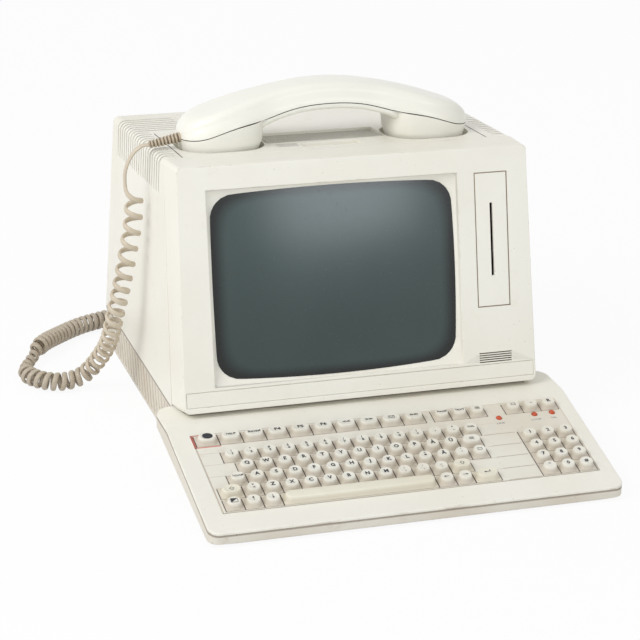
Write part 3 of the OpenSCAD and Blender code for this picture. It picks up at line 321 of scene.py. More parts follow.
handset_ivory = moulded("handset ivory", (0.885, 0.875, 0.80), (0.835, 0.805, 0.71), 0.4, 0.15, 0.35, 0.30,
                        0.35)
dark_plastic = moulded("dark plastic", (0.018, 0.018, 0.018), (0.05, 0.046, 0.04), 0.5, 0.2, 0.3, 0.45, 1.0)
foot_rubber = moulded("foot rubber", (0.028, 0.027, 0.026), (0.09, 0.085, 0.075), 0.6, 0.3, 0.4, 0.72, 1.0)
cord_taupe = moulded("cord taupe", (0.63, 0.555, 0.44), (0.49, 0.415, 0.305), 0.6, 0.2, 0.0, 0.36, 0.4,
                     dirt_and_shade_mask=darker_near_table, dirt_and_shade_colour=(0.34, 0.285, 0.22))
boot_taupe = moulded("boot taupe", (0.55, 0.465, 0.345), (0.44, 0.36, 0.26), 0.6, 0.2, 0.0, 0.42, 0.4)
print("materials made with the group:", aged.users)

# %% [markdown]
# ## The curly cord
# The cord leaves the strain relief at the handset's left end, hangs beside the housing, turns over on
# the table and runs behind the machine to its socket. A bevelled curve would be shorter to write, but
# the cord is built as a mesh. Its middle line goes smoothly through the route's points, and the curls
# wind round it.

# %% Cord route
ROUTE = [Vector(p) * MM for p in (
    (-145.1, 51.4, 222.3), (-150.1, 51.3, 221.4), (-155, 52, 214), (-157, 52, 200), (-156.7, 51.5, 186),
    (-156.3, 52, 170), (-157.7, 52, 154), (-160, 53, 138.5), (-162.3, 53.5, 124), (-164.7, 54, 110),
    (-167, 55, 97), (-169.1, 57, 84.5), (-170.5, 61, 72), (-171, 67.8, 59.5), (-171.8, 76, 48.5),
    (-173.5, 84.5, 38.5), (-176.1, 92.3, 29), (-179.9, 98.3, 20.2), (-185.5, 102, 13.2),
    (-193.8, 103.4, 9.4), (-204, 103.7, 8.3), (-214.5, 107.8, 8.3), (-222.5, 116, 8.3), (-227, 127, 8.1),
    (-226.5, 138, 6.6), (-221.5, 150, 6), (-214.5, 161, 8), (-208, 171, 11.5), (-199.5, 182, 11.6),
    (-190.5, 193, 10), (-181.5, 203, 8.6), (-172, 211, 8.3), (-160.5, 218.5, 8.3), (-147.5, 224.5, 8.3),
    (-135, 229, 8.5), (-122, 233, 10.5), (-110, 235, 13), (-101, 232, 15.5), (-96.5, 225, 17),
    (-96, 214.6, 17))]
ROUTE_STEPS = 8


def smooth_line(stops, steps):
    line = []
    for i in range(len(stops) - 1):
        a, b, c, d = (stops[max(0, min(len(stops) - 1, i + k))] for k in (-1, 0, 1, 2))
        for t in (j / steps for j in range(steps)):
            line.append(0.5 * (2 * b + (c - a) * t + (2 * a - 5 * b + 4 * c - d) * t * t
                               + (3 * b - a - 3 * c + d) * t ** 3))
    return line + [stops[-1]]


middle = smooth_line(ROUTE, ROUTE_STEPS)
stations = [0.0]
for one, other in zip(middle, middle[1:]):
    stations.append(stations[-1] + (other - one).length)
route_len = stations[-1]


def on_route(s):
    i = max(k for k in range(len(stations)) if stations[k] <= max(0.0, s))
    if i == len(stations) - 1:
        return middle[-1].copy()
    return middle[i].lerp(middle[i + 1], (s - stations[i]) / (stations[i + 1] - stations[i]))


def heading(s):
    return (on_route(min(s + MM, route_len)) - on_route(max(s - MM, 0))).normalized()


print("route", round(route_len, 4), "m through", len(ROUTE), "points")

# %% [markdown]
# A coil that hangs is pulled open by its weight, and on the table it closes up again. So the space from
# one curl to the next changes along the route, and a loop adds up the turns in small steps. In one place
# the coil lies folded, and there it is thin and loose.

# %% Curls round the route
CORD_W, CORD_T = 0.0044, 0.0028
CURL_R, LOOSE_R, LOOSE_EASE = 0.0063, 0.0036, 0.004
LOOSE_FROM, LOOSE_TO = (stations[point * ROUTE_STEPS] for point in (23, 27))
PITCH = [(100, 13.0), (122, 10.4), (160, 9.8), (212, 9.6), (230, 8.3),
         (244, 6.6), (284, 6.3), (296, 8.0), (332, 8.0), (342, 5.9)]
CURL_FROM, CURL_TO, MARCH = 0.050, route_len - 0.046, 0.0005


def pitch_at(s):
    """Space from curl to curl, from the list of millimetres along the route."""
    s = max(s / MM, PITCH[0][0])
    for (s0, p0), (s1, p1) in zip(PITCH, PITCH[1:]):
        if s <= s1:
            return (p0 + (p1 - p0) * (s - s0) / (s1 - s0)) * MM
    return PITCH[-1][1] * MM


turn_at, s, turns = [], CURL_FROM, 0.0
while s <= CURL_TO:
    turn_at.append((turns, s))
    turns += MARCH / pitch_at(s)
    s += MARCH
curls = math.floor(turn_at[-1][0])


def station_of(turn):
    near = min(range(len(turn_at) - 1), key=lambda k: abs(turn_at[k][0] - turn))
    return turn_at[near][1] + (turn - turn_at[near][0]) * pitch_at(turn_at[near][1])


STEPS, TAIL_STEPS = 16, 10
LEAD_STEPS, LEAD_GROW, EASE = 24, 0.030, 0.016
swing = 2 * math.pi * EASE / pitch_at(CURL_FROM) / 3


def eased(share):
    share = max(0.0, min(1.0, share))
    return share * share * (3 - 2 * share)


def curl_radius(s):
    loose = eased((s - LOOSE_FROM) / LOOSE_EASE) * eased((LOOSE_TO - s) / LOOSE_EASE)
    return CURL_R - (CURL_R - LOOSE_R) * loose


rings = []
for s in (i * CURL_FROM / LEAD_STEPS for i in range(LEAD_STEPS)):
    into = max(0.0, 1 - (CURL_FROM - s) / EASE)
    rings.append((s, math.pi / 2 + swing * into ** 3, CURL_R * eased(s / LEAD_GROW)))
for i in range(curls * STEPS + 1):
    turn = i / STEPS
    rings.append((station_of(turn), math.pi / 2 + swing + 2 * math.pi * turn,
                  curl_radius(station_of(turn)) * eased(curls - turn)))
tail_from = station_of(curls)
tail_len = route_len - tail_from
rings += [(tail_from + i * tail_len / TAIL_STEPS, 0.0, 0.0) for i in range(1, TAIL_STEPS + 1)]
side = Vector((0, 1, 0))
wire, outward = [], []
for s, angle, radius in rings:
    ahead = heading(s)
    side = (side - side.dot(ahead) * ahead).normalized()
    outward.append(math.cos(angle) * side - math.sin(angle) * ahead.cross(side))
    wire.append(on_route(s) + radius * outward[-1])

# %% [markdown]
# The cord is flat: it is wider along the coil than it is thick. One oval ring is made at the start, and
# its edges are then pushed out again and again, each time to the next place along the wire.

# %% Cord piece
def ring_place(i):
    """Place of the oval at one point of the wire: X is its thin way, Y its wide way, Z along the wire."""
    ahead = (wire[min(i + 1, len(wire) - 1)] - wire[max(i - 1, 0)]).normalized()
    out = (outward[i] - outward[i].dot(ahead) * ahead).normalized()
    wide = ahead.cross(out)
    axes = Matrix((out * CORD_T / 2, wide * CORD_W / 2, ahead)).transposed()
    return Matrix.Translation(wire[i]) @ axes.to_4x4()


def push_out(bm, edges):
    """Extrudes edges and gives the new points, edges and faces."""
    made = bmesh.ops.extrude_edge_only(bm, edges=edges)["geom"]
    kinds = (bmesh.types.BMVert, bmesh.types.BMEdge, bmesh.types.BMFace)
    return [[g for g in made if isinstance(g, kind)] for kind in kinds]


bm = bmesh.new()
ring = bmesh.ops.create_circle(bm, cap_ends=True, segments=12, radius=1.0, matrix=ring_place(0))["verts"]
edges = list({e for v in ring for e in v.link_edges})
for i in range(1, len(wire)):
    ring, edges, _ = push_out(bm, edges)
    bmesh.ops.transform(bm, matrix=ring_place(i) @ ring_place(i - 1).inverted(), verts=ring)
bmesh.ops.edgeloop_fill(bm, edges=edges)
bmesh.ops.recalc_face_normals(bm, faces=bm.faces)
cord = make_piece("curly_cord", bm, None, [cord_taupe], ["handset_cord"], 60)
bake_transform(cord)

# %% [markdown]
# The small plug at the cord's far end is a clear block with a thin spring latch on top. It is a cube
# that is bevelled, and the latch is a second, flat cube that tips up towards the cord.

# %% Cord plug
def block(bm, size, centre, turn=Matrix()):
    place = Matrix.Translation(centre) @ turn @ Matrix.Diagonal((*size, 1))
    return bmesh.ops.create_cube(bm, size=1, matrix=place)["verts"]


def bevelled(bm, edges, width, segments, **ways):
    return bmesh.ops.bevel(bm, geom=list(edges), offset=width, offset_type="OFFSET", segments=segments,
                           profile=0.5, affect="EDGES", material=-1, **ways)["faces"]


def round_edges(bm, verts, width, segments=2):
    edges = {e for v in verts for e in v.link_edges
             if len(e.link_faces) == 2 and e.calc_face_angle(0) > math.radians(30)}
    bevelled(bm, edges, width, segments, clamp_overlap=True)


def glassy(name, colour, rough, transmission):
    material, tree, shader, coords = new_material(name)
    cloud = noise(tree, coords, 160, 3)
    deeper = tuple(c * 0.7 for c in colour)
    link(tree, mix(tree, spread(tree, cloud, 0.3, 0.75), colour, deeper), shader.inputs["Base Color"])
    link(tree, spread(tree, cloud, 0.3, 0.8, rough, rough + 0.12), shader.inputs["Roughness"])
    shader.inputs["Transmission Weight"].default_value = transmission
    shader.inputs["IOR"].default_value = 1.5
    material.diffuse_color = (*colour, 1)
    return material


plug_clear = glassy("plug clear", (0.72, 0.73, 0.70), 0.12, 0.55)
plug_low, plug_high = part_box("cord_plug")
bm = bmesh.new()
body = block(bm, plug_high - plug_low, (plug_low + plug_high) / 2)
round_edges(bm, body, 0.0008, 3)
latch = block(bm, (0.0032, 0.015, 0.0009), (-0.096, plug_high.y - 0.0145, plug_high.z + 0.0004),
              Matrix.Rotation(math.radians(3), 4, "X"))
round_edges(bm, latch, 0.0003)
plug = make_piece("cord_plug_body", bm, "machine", [plug_clear], ["cord_plug"])

# %% [markdown]
# ## Case pieces
# The case mouldings already have the right shape, but a CAD edge is knife sharp and catches no light.
# Each one is copied, its loose triangles are merged, and every sharp edge gets a small bevel. Simple ones
# have their flat triangles dissolved first, and those with pockets and ribs keep them, because a large
# face with many corners can fold over itself. The bevel's faces are marked in the edge attribute, so the
# finish can wear them.

# %% Softened copies
SHARP = math.radians(32)


def softened(name, node, material, width, segments=2, flatten=True, body="machine"):
    bm = bmesh.new()
    bm.from_mesh(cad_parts[node].data)
    bmesh.ops.remove_doubles(bm, verts=bm.verts, dist=3e-5)
    if flatten:
        bmesh.ops.dissolve_limit(bm, angle_limit=math.radians(0.6), verts=bm.verts, edges=bm.edges)
    mark = bm.faces.layers.float.new("edge")
    edges = [e for e in bm.edges if len(e.link_faces) == 2 and e.calc_face_angle(0) > SHARP]
    for face in bevelled(bm, edges, width * MM, segments, clamp_overlap=False, loop_slide=True):
        face[mark] = 1.0
    piece = make_piece(name, bm, body, [material], [node])
    piece.modifiers.new("flat faces", "WEIGHTED_NORMAL").keep_sharp = True
    print(len(edges), "edges rounded")


softened("deck_slab", "deck_cover", deck_ivory, 0.8, 3)
softened("base_pan", "base_tray", base_ivory, 0.5, flatten=False)
softened("screen_bezel", "front_bezel", case_ivory, 0.6, flatten=False)
softened("back_cover", "rear_cover", case_ivory, 0.4)
softened("handset_cradle", "cradle_panel", case_ivory, 0.5, flatten=False)
softened("badge_plate", "badge_strip", case_ivory, 0.2)
softened("slot_plate", "card_plate", case_ivory, 0.4)
softened("line_sockets", "phone_sockets", dark_plastic, 0.2)
softened("mains_socket", "mains_inlet", dark_plastic, 0.4)
softened("stand_feet", "rubber_feet", foot_rubber, 0.4)
softened("hook_button", "hook_plunger", dark_plastic, 0.3, body="hook")

# %% [markdown]
# ## Handset
# The handset is two shells with a seam that rises from the noses to the grip. The upper shell is a flat
# grid that is laid over the form: one way of the grid runs along the handset, the other way runs from the
# seam over the shoulder and the flat back to the seam on the far side. Smooth curves give the plan, the
# back and the seam, so the cups flow out of the grip.

# %% Handset curves
NOSE, CUP_X, CUP_HALF, CUP_WIDE, PLAN_POWER = 118.0, 84.75, 33.25, 28.0, 2.4
GRIP_HALF, GRIP_END = 21.0, 36.0
SEAM_TOP, SEAM_R, SEAM_NOSE, SEAM_EASE = 31.3, 235, 7.2, 5.0
DIP, DIP_AT, DIP_LONG = 3.2, 54, 22
BACK_TOP, BACK_R, ARCH, ARCH_LONG = 45.5, 320, 2.4, 104
DROP, DROP_FROM, DROP_POWER = 11.0, 102.0, 2.2
FLAT_TO, TURN_TO, CAMBER = 0.35, 0.8, 0.7


def soft_max(a, b, ease):
    return 0.5 * (a + b + math.hypot(a - b, ease))


def arc(x, top, radius):
    return top - radius + math.sqrt(radius ** 2 - x * x)


def seam_at(x):
    dip = DIP * math.exp(-((abs(x) - DIP_AT) / DIP_LONG) ** 2)
    return soft_max(arc(x, SEAM_TOP, SEAM_R) - dip, SEAM_NOSE, SEAM_EASE)


def half_width(x):
    """Half of the handset's width at a place along it."""
    along = abs(x) - CUP_X
    if along > 0:
        return CUP_WIDE * max(0.0, 1 - (along / CUP_HALF) ** PLAN_POWER) ** (1 / PLAN_POWER)
    return GRIP_HALF + (CUP_WIDE - GRIP_HALF) * eased((abs(x) - GRIP_END) / (CUP_X - GRIP_END))


def back_at(x):
    """Height of the handset's back, with a round drop at each nose."""
    past = max(0.0, (abs(x) - DROP_FROM) / (NOSE - DROP_FROM))
    drop = DROP * (1 - math.sqrt(max(0.0, 1 - past ** DROP_POWER)))
    return arc(x, BACK_TOP, BACK_R) + ARCH * math.cos(math.pi * x / ARCH_LONG) - drop


def section(w, flat_to, wides, highs, camber=0.0):
    """A flat, a quarter turn and a side; w runs from -1 at one seam edge to 1 at the other."""
    (flat, bent, half), (start, turned, end) = wides, highs
    w, sign = abs(w), math.copysign(1.0, w)
    if w < flat_to:
        return sign * w / flat_to * flat, start - camber * (w / flat_to) ** 2
    if w < TURN_TO:
        turn = (w - flat_to) / (TURN_TO - flat_to) * math.pi / 2
        high = start - camber + (turned - start + camber) * (1 - math.cos(turn))
        return sign * (flat + (bent - flat) * math.sin(turn)), high
    down = (w - TURN_TO) / (1 - TURN_TO)
    return sign * (bent + (half - bent) * math.sin(down * math.pi / 2)), turned + down * (end - turned)


def shoulder(x, w):
    half, top, low = half_width(x), back_at(x), seam_at(x)
    ridge, drop, slant = min(7.0, 0.34 * half), min(7.5, 0.5 * (top - low)), min(3.0, 0.12 * half)
    return section(w, FLAT_TO, (half - slant - ridge, half - slant, half), (top, top - drop, low), CAMBER)


print("seam from", round(seam_at(NOSE), 1), "to", round(seam_at(0), 1), "mm over the housing's top")

# %% Handset back shell
def close_edges(bm, edges):
    """Closes an open edge towards the middle line; the new faces get the second material, which paints the
    shade inside the gap.
    """
    verts, _, faces = push_out(bm, edges)
    bmesh.ops.scale(bm, vec=(1, 0, 1), verts=verts)
    for face in faces:
        face.material_index = 1


def laid_shell(bm, along, round_steps, point_at, reach):
    """A grid whose X runs along the handset and whose Y runs round a section, closed below."""
    for v in bmesh.ops.create_grid(bm, x_segments=along, y_segments=round_steps, size=1)["verts"]:
        x = reach * math.sin(v.co.x * math.pi / 2)
        v.co = (x, *point_at(x, v.co.y))
    close_edges(bm, [e for e in bm.edges if e.is_boundary])


def to_place(bm, place):
    """Takes a bmesh in millimetres to its place in metres."""
    bmesh.ops.scale(bm, vec=(MM, MM, MM), verts=bm.verts)
    bmesh.ops.transform(bm, matrix=place, verts=bm.verts)


def finish_form(bm):
    bmesh.ops.remove_doubles(bm, verts=bm.verts, dist=0.004)
    bmesh.ops.dissolve_degenerate(bm, edges=bm.edges, dist=0.002)
    bmesh.ops.recalc_face_normals(bm, faces=bm.faces)
    to_place(bm, TOP)


# Painted shade: dark brown for the faces inside the handset's seam gap, the sound holes and the slit under
# the bezel.
seam_shade_brown = moulded("painted seam shade", (0.10, 0.07, 0.05), (0.05, 0.035, 0.025), 0.5, 0.0, 0.0, 0.7, 0.4)
bm = bmesh.new()
laid_shell(bm, 84, 48, shoulder, NOSE)
finish_form(bm)
make_piece("handset_top", bm, "handset", [handset_ivory, seam_shade_brown], ["handset_back"], 60)

# %% [markdown]
# The lower shell is a curved bar between two cups. A cup is an oval ring that is pushed up level by level
# and leans out, and its last ring follows the seam. The dark faces inside the seam paint the shade of its
# gap as a brown line.

# %% Handset front shell
SEAM_GAP = 0.7
BAR_END, BAR_INSET, BAR_THICK, BAR_ROUND, BAR_FLAT = 74.0, 0.15, 4.2, 2.5, 0.5
NARROW, NARROW_FROM, NARROW_LONG = 8.0, 50.0, 14.0
FILLET, FILLET_FROM, FILLET_LONG = 4.5, 38.0, 16.0
CUP_FACE, CUP_SIDES = -6.0, 72
CUP_LEVELS = ((CUP_FACE, 0.82, 2.4), (-5.7, 0.87, 2.4), (-4.6, 0.905, 2.4), (-2.5, 0.925, 2.4),
              (1.5, 0.952, 2.7), (5.0, 0.98, 3.0), (None, 0.995, 3.4))
HOLES, HOLE_RING = 6, 9.0


def bar_section(x, w):
    """Point of the bar's section, which deepens into a fillet where it meets a cup."""
    half = half_width(x) - BAR_INSET - NARROW * eased((abs(x) - NARROW_FROM) / NARROW_LONG)
    high = seam_at(x) - SEAM_GAP
    past = min(1.0, max(0.0, (abs(x) - FILLET_FROM) / FILLET_LONG))
    low = high - BAR_THICK - FILLET * (1 - math.sqrt(1 - past * past))
    flat = (half - BAR_ROUND) * (1 - 0.45 * past * past)
    bend = BAR_ROUND + 0.6 * (high - low - BAR_ROUND) * past
    return section(w, BAR_FLAT, (flat, half, half), (low, low + bend, high))


def cup_body(bm, side):
    """Each level has a height, a size and the power of its inner half; the last one follows the seam."""
    ring = bmesh.ops.create_circle(bm, cap_ends=True, segments=CUP_SIDES, radius=1.0)["verts"]
    turn_of = {v: math.atan2(v.co.y, v.co.x) for v in ring}
    edges = list({e for v in ring for e in v.link_edges})
    for number, (height, grow, inner) in enumerate(CUP_LEVELS):
        if number:
            old = {tuple(v.co): turn for v, turn in turn_of.items()}
            ring, edges, _ = push_out(bm, edges)
            turn_of = {v: old[tuple(v.co)] for v in ring}
        for v, turn in turn_of.items():
            c, s = math.cos(turn), math.sin(turn)
            power = 2 / (inner if c * side < 0 else PLAN_POWER)
            x = side * CUP_X + CUP_HALF * grow * math.copysign(abs(c) ** power, c)
            y = CUP_WIDE * grow * math.copysign(abs(s) ** power, s)
            v.co = (x, y, seam_at(x) - SEAM_GAP if height is None else height)
    close_edges(bm, edges)


bm = bmesh.new()
laid_shell(bm, 56, 30, bar_section, BAR_END)
for side in (-1, 1):
    cup_body(bm, side)
    # Dark discs in the second material paint the shade inside each cup's sound holes.
    for i in range(HOLES + 1):
        turn = i * 2 * math.pi / HOLES
        ring = HOLE_RING if i < HOLES else 0.0
        spot = (side * CUP_X + ring * math.cos(turn), ring * math.sin(turn), CUP_FACE - 0.02)
        hole = bmesh.ops.create_circle(bm, cap_ends=True, segments=12, radius=1.0,
                                       matrix=Matrix.Translation(spot))["verts"]
        for face in {f for v in hole for f in v.link_faces}:
            face.material_index = 1
finish_form(bm)
make_piece("handset_underside", bm, "handset", [handset_ivory, seam_shade_brown],
           ["handset_front"], 50)

# %% [markdown]
# ## Strain relief
# The boot is a row of soft rings that get smaller towards the cord. Its outline is drawn as a chain of
# edges and spun round the axis, as on a lathe.

# %% Cord boot
BOOT = TOP @ Matrix.Translation((-0.118, -0.005, 0.0085)) @ Matrix.Rotation(math.radians(-100), 4, "Y")


def spun(bm, outline, steps=28, offset=0.0, weld=1e-4):
    """Spins a chain of (radius, height) points round Z and closes it."""
    chain = [bm.verts.new((r, 0, z)) for r, z in outline]
    edges = [bm.edges.new(pair) for pair in zip(chain, chain[1:])]
    bmesh.ops.rotate(bm, verts=chain, matrix=Matrix.Rotation(offset, 3, "Z"))
    bmesh.ops.spin(bm, geom=chain + edges, axis=(0, 0, 1), cent=(0, 0, 0), angle=2 * math.pi,
                   steps=steps, use_merge=True)
    bmesh.ops.remove_doubles(bm, verts=bm.verts, dist=weld)
    bmesh.ops.recalc_face_normals(bm, faces=bm.faces)


RIBS, RIB_STEP, RIB_DEEP, RIB_FIRST = 8, 2.75, 0.9, 2.0
BOOT_R, BOOT_TAPER, BOOT_LONG = 4.1, 0.055, 24.0
boot_groove_shade = moulded("boot groove shade", (0.25, 0.19, 0.13), (0.17, 0.125, 0.085), 0.5, 0.0, 0.0, 0.6, 0.4)


def rib_radius(high):
    return BOOT_R - BOOT_TAPER * (high - RIB_FIRST)


outline = [(0.0, -2.5), (3.4, -2.5), (3.9, -0.3), (4.0, 0.6), (3.0, 1.0)]
for low in (RIB_FIRST + i * RIB_STEP for i in range(RIBS)):
    wide = rib_radius(low)
    outline += [(wide - RIB_DEEP, low - 0.1), (wide - 0.15, low), (wide, low + 0.4), (wide, low + 1.0),
                (wide - 0.15, low + 1.4), (wide - RIB_DEEP, low + 1.5)]
outline += [(2.5, BOOT_LONG - 0.4), (2.3, BOOT_LONG), (0.0, BOOT_LONG)]
bm = bmesh.new()
spun(bm, outline)
# Painted shade: faces deep in the grooves between the ribs get the darker second material.
for face in bm.faces:
    spot = face.calc_center_median()
    if 0.8 < spot.z < BOOT_LONG - 0.6 and math.hypot(spot.x, spot.y) < rib_radius(spot.z) - 0.4:
        face.material_index = 1
to_place(bm, BOOT)
make_piece("cord_sleeve", bm, "handset", [boot_taupe, boot_groove_shade], ["cord_boot"], 50)

# %% [markdown]
# ## Keys
# Each key is a low foot plate with a round raised top that flares into it and has a dished crown. One
# outline is spun for the top. For a wide key the spun shape is pulled apart in the middle: the spin
# starts half a step off, so that a flat strip opens between two straight edges.

# %% Key shapes
PLATE_TOP, PLATE_LONG, PLATE_THICK = 0.4, 12.46, 2.4
KEY_GAP, ROUND_W, KEY_STEPS = 0.7, 13.0, 32
ROW_FRONT, ROW_STEP, TOP_ROW = 29.05, 13.86, 106.6
CROWN = [(0.0, 4.72), (1.4, 4.77), (2.6, 4.89), (3.35, 5.03), (3.78, 5.14), (3.99, 5.12), (4.16, 4.97),
         (4.31, 4.6), (4.61, 3.7), (4.97, 2.7), (5.37, 1.8), (5.74, 1.1), (6.05, 0.68), (6.2, 0.3)]
BAR = [(0.0, 5.2), (2.6, 5.18), (3.6, 5.1), (4.1, 4.96), (4.36, 4.7), (4.58, 4.1), (5.08, 2.7), (5.42, 1.8),
       (5.76, 1.1), (6.05, 0.68), (6.2, 0.3)]


def on_deck(x, up):
    return DECK @ Matrix.Translation((x * MM, up * MM, 0))


def add_part(bm, part, place):
    """Puts a small bmesh in millimetres into a bigger one in metres and gives the new faces."""
    to_place(part, place)
    mesh = bpy.data.meshes.new("part")
    part.to_mesh(mesh)
    part.free()
    before = len(bm.faces)
    bm.from_mesh(mesh)
    bpy.data.meshes.remove(mesh)
    bm.faces.ensure_lookup_table()
    return bm.faces[before:]


def key_shape(bm, x, up, width, profile):
    """Adds a key in the deck's slope, in millimetres: x across, up the deck."""
    part = bmesh.new()
    spun(part, profile, KEY_STEPS, math.pi / 2 - math.pi / KEY_STEPS, weld=1e-7)
    pull = max(0.0, (width - KEY_GAP - ROUND_W) / 2)
    for v in part.verts:
        if abs(v.co.x) > 1e-4:
            v.co.x += math.copysign(pull, v.co.x)
    plate = block(part, (width - KEY_GAP, PLATE_LONG, PLATE_THICK), (0, 0, PLATE_TOP - PLATE_THICK / 2))
    round_edges(part, [v for v in plate if v.co.z > 0], 0.35)
    add_part(bm, part, on_deck(x, up))


def row(i):
    return ROW_FRONT + ROW_STEP * i


def run_of(first, number, pitch, up):
    return [(first + i * pitch, up, pitch) for i in range(number)]


print("rows from", row(0), "to", TOP_ROW, "mm up the deck")

# %% [markdown]
# ## Legends
# The legends are printed on the crowns. Letters are text objects turned into meshes, and the arrows and
# frames are built from small grids and circles. All of them are laid down on the dish, a hair above the
# plastic. A legend is written as its letters or as the name of a sign.

# %% Legend helpers
DISH_LOW, DISH_DEEP, DISH_R, DISH_END, INK_LIFT = 4.72, 0.43, 4.05, 4.2, 0.04


def dish(x, y):
    r = min(DISH_END, math.hypot(x, y))
    return DISH_LOW + DISH_DEEP * (r / DISH_R) ** 2 + INK_LIFT


def letters(bm, word, size, x=0.0, y=0.0, bold=0.03, stretch=1.0):
    text = bpy.data.curves.new("legend", "FONT")
    text.body = word
    text.size = size
    text.offset = bold * size * 0.4
    text.align_x, text.align_y = "CENTER", "CENTER"
    text.resolution_u = 2
    holder = bpy.data.objects.new("legend", text)
    scene.collection.objects.link(holder)
    mesh = bpy.data.meshes.new_from_object(holder.evaluated_get(bpy.context.evaluated_depsgraph_get()))
    bpy.data.objects.remove(holder)
    bpy.data.curves.remove(text)
    mesh.transform(Matrix.Translation((x, y, 0)) @ Matrix.Diagonal((stretch, 1, 1, 1)))
    bm.from_mesh(mesh)
    bpy.data.meshes.remove(mesh)


def bar(bm, w, h, x=0.0, y=0.0, turn=0.0):
    place = Matrix.Translation((x, y, 0)) @ Matrix.Rotation(turn, 4, "Z") @ Matrix.Diagonal((w, h, 1, 1))
    return bmesh.ops.create_grid(bm, x_segments=1, y_segments=1, size=0.5, matrix=place)["verts"]


def disc(bm, radius, x=0.0, y=0.0, sides=3, turn=0.0, stretch=1.0):
    place = Matrix.Translation((x, y, 0)) @ Matrix.Diagonal((stretch, 1, 1, 1))
    place = place @ Matrix.Rotation(turn, 4, "Z")
    bmesh.ops.create_circle(bm, cap_ends=True, segments=sides, radius=radius, matrix=place)


def arrow(bm, turn, long=3.6):
    way = Vector((math.cos(turn), math.sin(turn)))
    bar(bm, long, 0.5, turn=turn)
    disc(bm, 1.15, way.x * long * 0.36, way.y * long * 0.36, 3, turn - math.pi / 2)


def outline_box(bm, w, h, line, x=0.0, y=0.0):
    for sign in (-1, 1):
        bar(bm, w, line, x, y + sign * (h - line) / 2)
        bar(bm, line, h, x + sign * (w - line) / 2, y)


SIGNS = ("pair", "arrow", "return", "disc", "half", "envelope", "box", "lines", "shift")
LETTER_LOOKS = {"one": (4.7, 0.11, 1.0), "word": (2.5, 0.09, 1.3), "pair": (3.8, 0.10, 1.35)}
BOXES = {"envelope": (4.6, 3.0, 0.35), "half": (5.4, 4.4, 0.3), "box": (3.6, 2.6, 0.4)}
STROKES = {
    "envelope": [(2.6, 0.35, side * 1.05, 0.35, side * 32) for side in (-1, 1)],
    "lines": [(3.8, 0.45, 0, y, 0) for y in (-1.0, 0.0, 1.0)],
    "return": [(0.5, 2.0, 2.0, 0.9, 0)],
    "shift": [(1.85, 0.35, 0, -1.75, 0)]
    + [(0.35, 1.7, side * 0.75, -1.0, 0) for side in (-1, 1)]
    + [(2.7, 0.35, side * 0.95, 0.75, side * -45) for side in (-1, 1)]
    + [(1.3, 0.35, side * 1.2, -0.12, 0) for side in (-1, 1)],
}


def draw_legend(bm, legend):
    kind, _, rest = legend.partition(":")
    if kind not in SIGNS:
        kind, rest = {1: "one", 2: "two"}.get(len(legend), "word"), legend
    if kind in LETTER_LOOKS:
        size, bold, stretch = LETTER_LOOKS[kind]
        letters(bm, rest, size, bold=bold, stretch=stretch)
    elif kind == "two":
        letters(bm, rest[0], 3.0, -0.2, 1.75, 0.09)
        letters(bm, rest[1], 3.6, 0.0, -1.5, 0.10)
    elif kind == "arrow":
        arrow(bm, math.radians(float(rest)))
    elif kind == "return":
        arrow(bm, math.pi, 4.4)
    elif kind == "disc":
        disc(bm, 3.4, sides=32, stretch=1.17)
    elif kind == "half":
        corner = bar(bm, *BOXES[kind][:2])
        bmesh.ops.delete(bm, geom=[max(corner, key=lambda v: v.co.x - v.co.y)], context="VERTS")
        bmesh.ops.contextual_create(bm, geom=[v for v in corner if v.is_valid])
    if kind in BOXES:
        outline_box(bm, *BOXES[kind])
    for w, h, x, y, turn in STROKES.get(kind, ()):
        bar(bm, w, h, x, y, math.radians(turn))


def printed(name, ink):
    return moulded(name, ink, tuple(min(1.0, c * 1.8 + 0.02) for c in ink), 0.5, 0.0, 0.0, 0.5, 0.4)


legend_ink = printed("legend ink", (0.022, 0.022, 0.03))
red_ink = printed("red ink", (0.62, 0.06, 0.035))
brown_ink = printed("brown ink", (0.20, 0.145, 0.095))
faint_ink = printed("faint ink", (0.52, 0.45, 0.37))
grey_ink = printed("grey ink", (0.20, 0.20, 0.21))
painted_gap_shade = printed("gap shade", (0.055, 0.042, 0.032))
print("legends are drawn flat and laid on a dish", round(dish(4, 0) - dish(0, 0), 2), "mm deep")

# %% Key rows
KEY_PITCH, WIDE_PITCH, PAD_PITCH, PAD_X = 14.57, 18.19, 14.75, 110.9
KEY_SETS = {
    "home_key": (run_of(-134.8, 1, WIDE_PITCH, TOP_ROW), "disc"),
    "function_keys": (run_of(-116.61, 9, WIDE_PITCH, TOP_ROW),
                      "HELP INDEX pair:F4 pair:F5 pair:F6 pair:<< pair:>> envelope END"),
    "number_keys": (run_of(-121.8, 14, KEY_PITCH, row(4)),
                    "!1 \"2 #3 $4 %5 &6 /7 (8 )9 =0 ?+ `' ^- DEL"),
    "upper_letter_keys": (run_of(-114.1, 12, KEY_PITCH, row(3)) + [(62.855, row(3), 18.6)],
                          "Q W E R T Y U I O P Å Ü lines"),
    "middle_letter_keys": (run_of(-124.8, 14, KEY_PITCH, row(2)), "LOCK A S D F G H J K L Ö Ä *' box"),
    "lower_letter_keys": (run_of(-116.9, 11, KEY_PITCH, row(1)), ">< Z X C V B N M ;, :. _-"),
    "left_shift_key": ([(-133.485, row(1), 18.4)], "shift"),
    "right_shift_key": ([(45.085, row(1), 17.8)], "shift"),
    "cursor_keys": (run_of(-135.4, 3, KEY_PITCH, row(0)) + run_of(28.1, 2, KEY_PITCH, row(0)),
                    "half arrow:90 arrow:270 arrow:180 arrow:0"),
    "space_bar": ([(-39.08, row(0), 119.59)], ""),
    "return_key": ([(60.355, row(0), 20.6)], "return"),
}
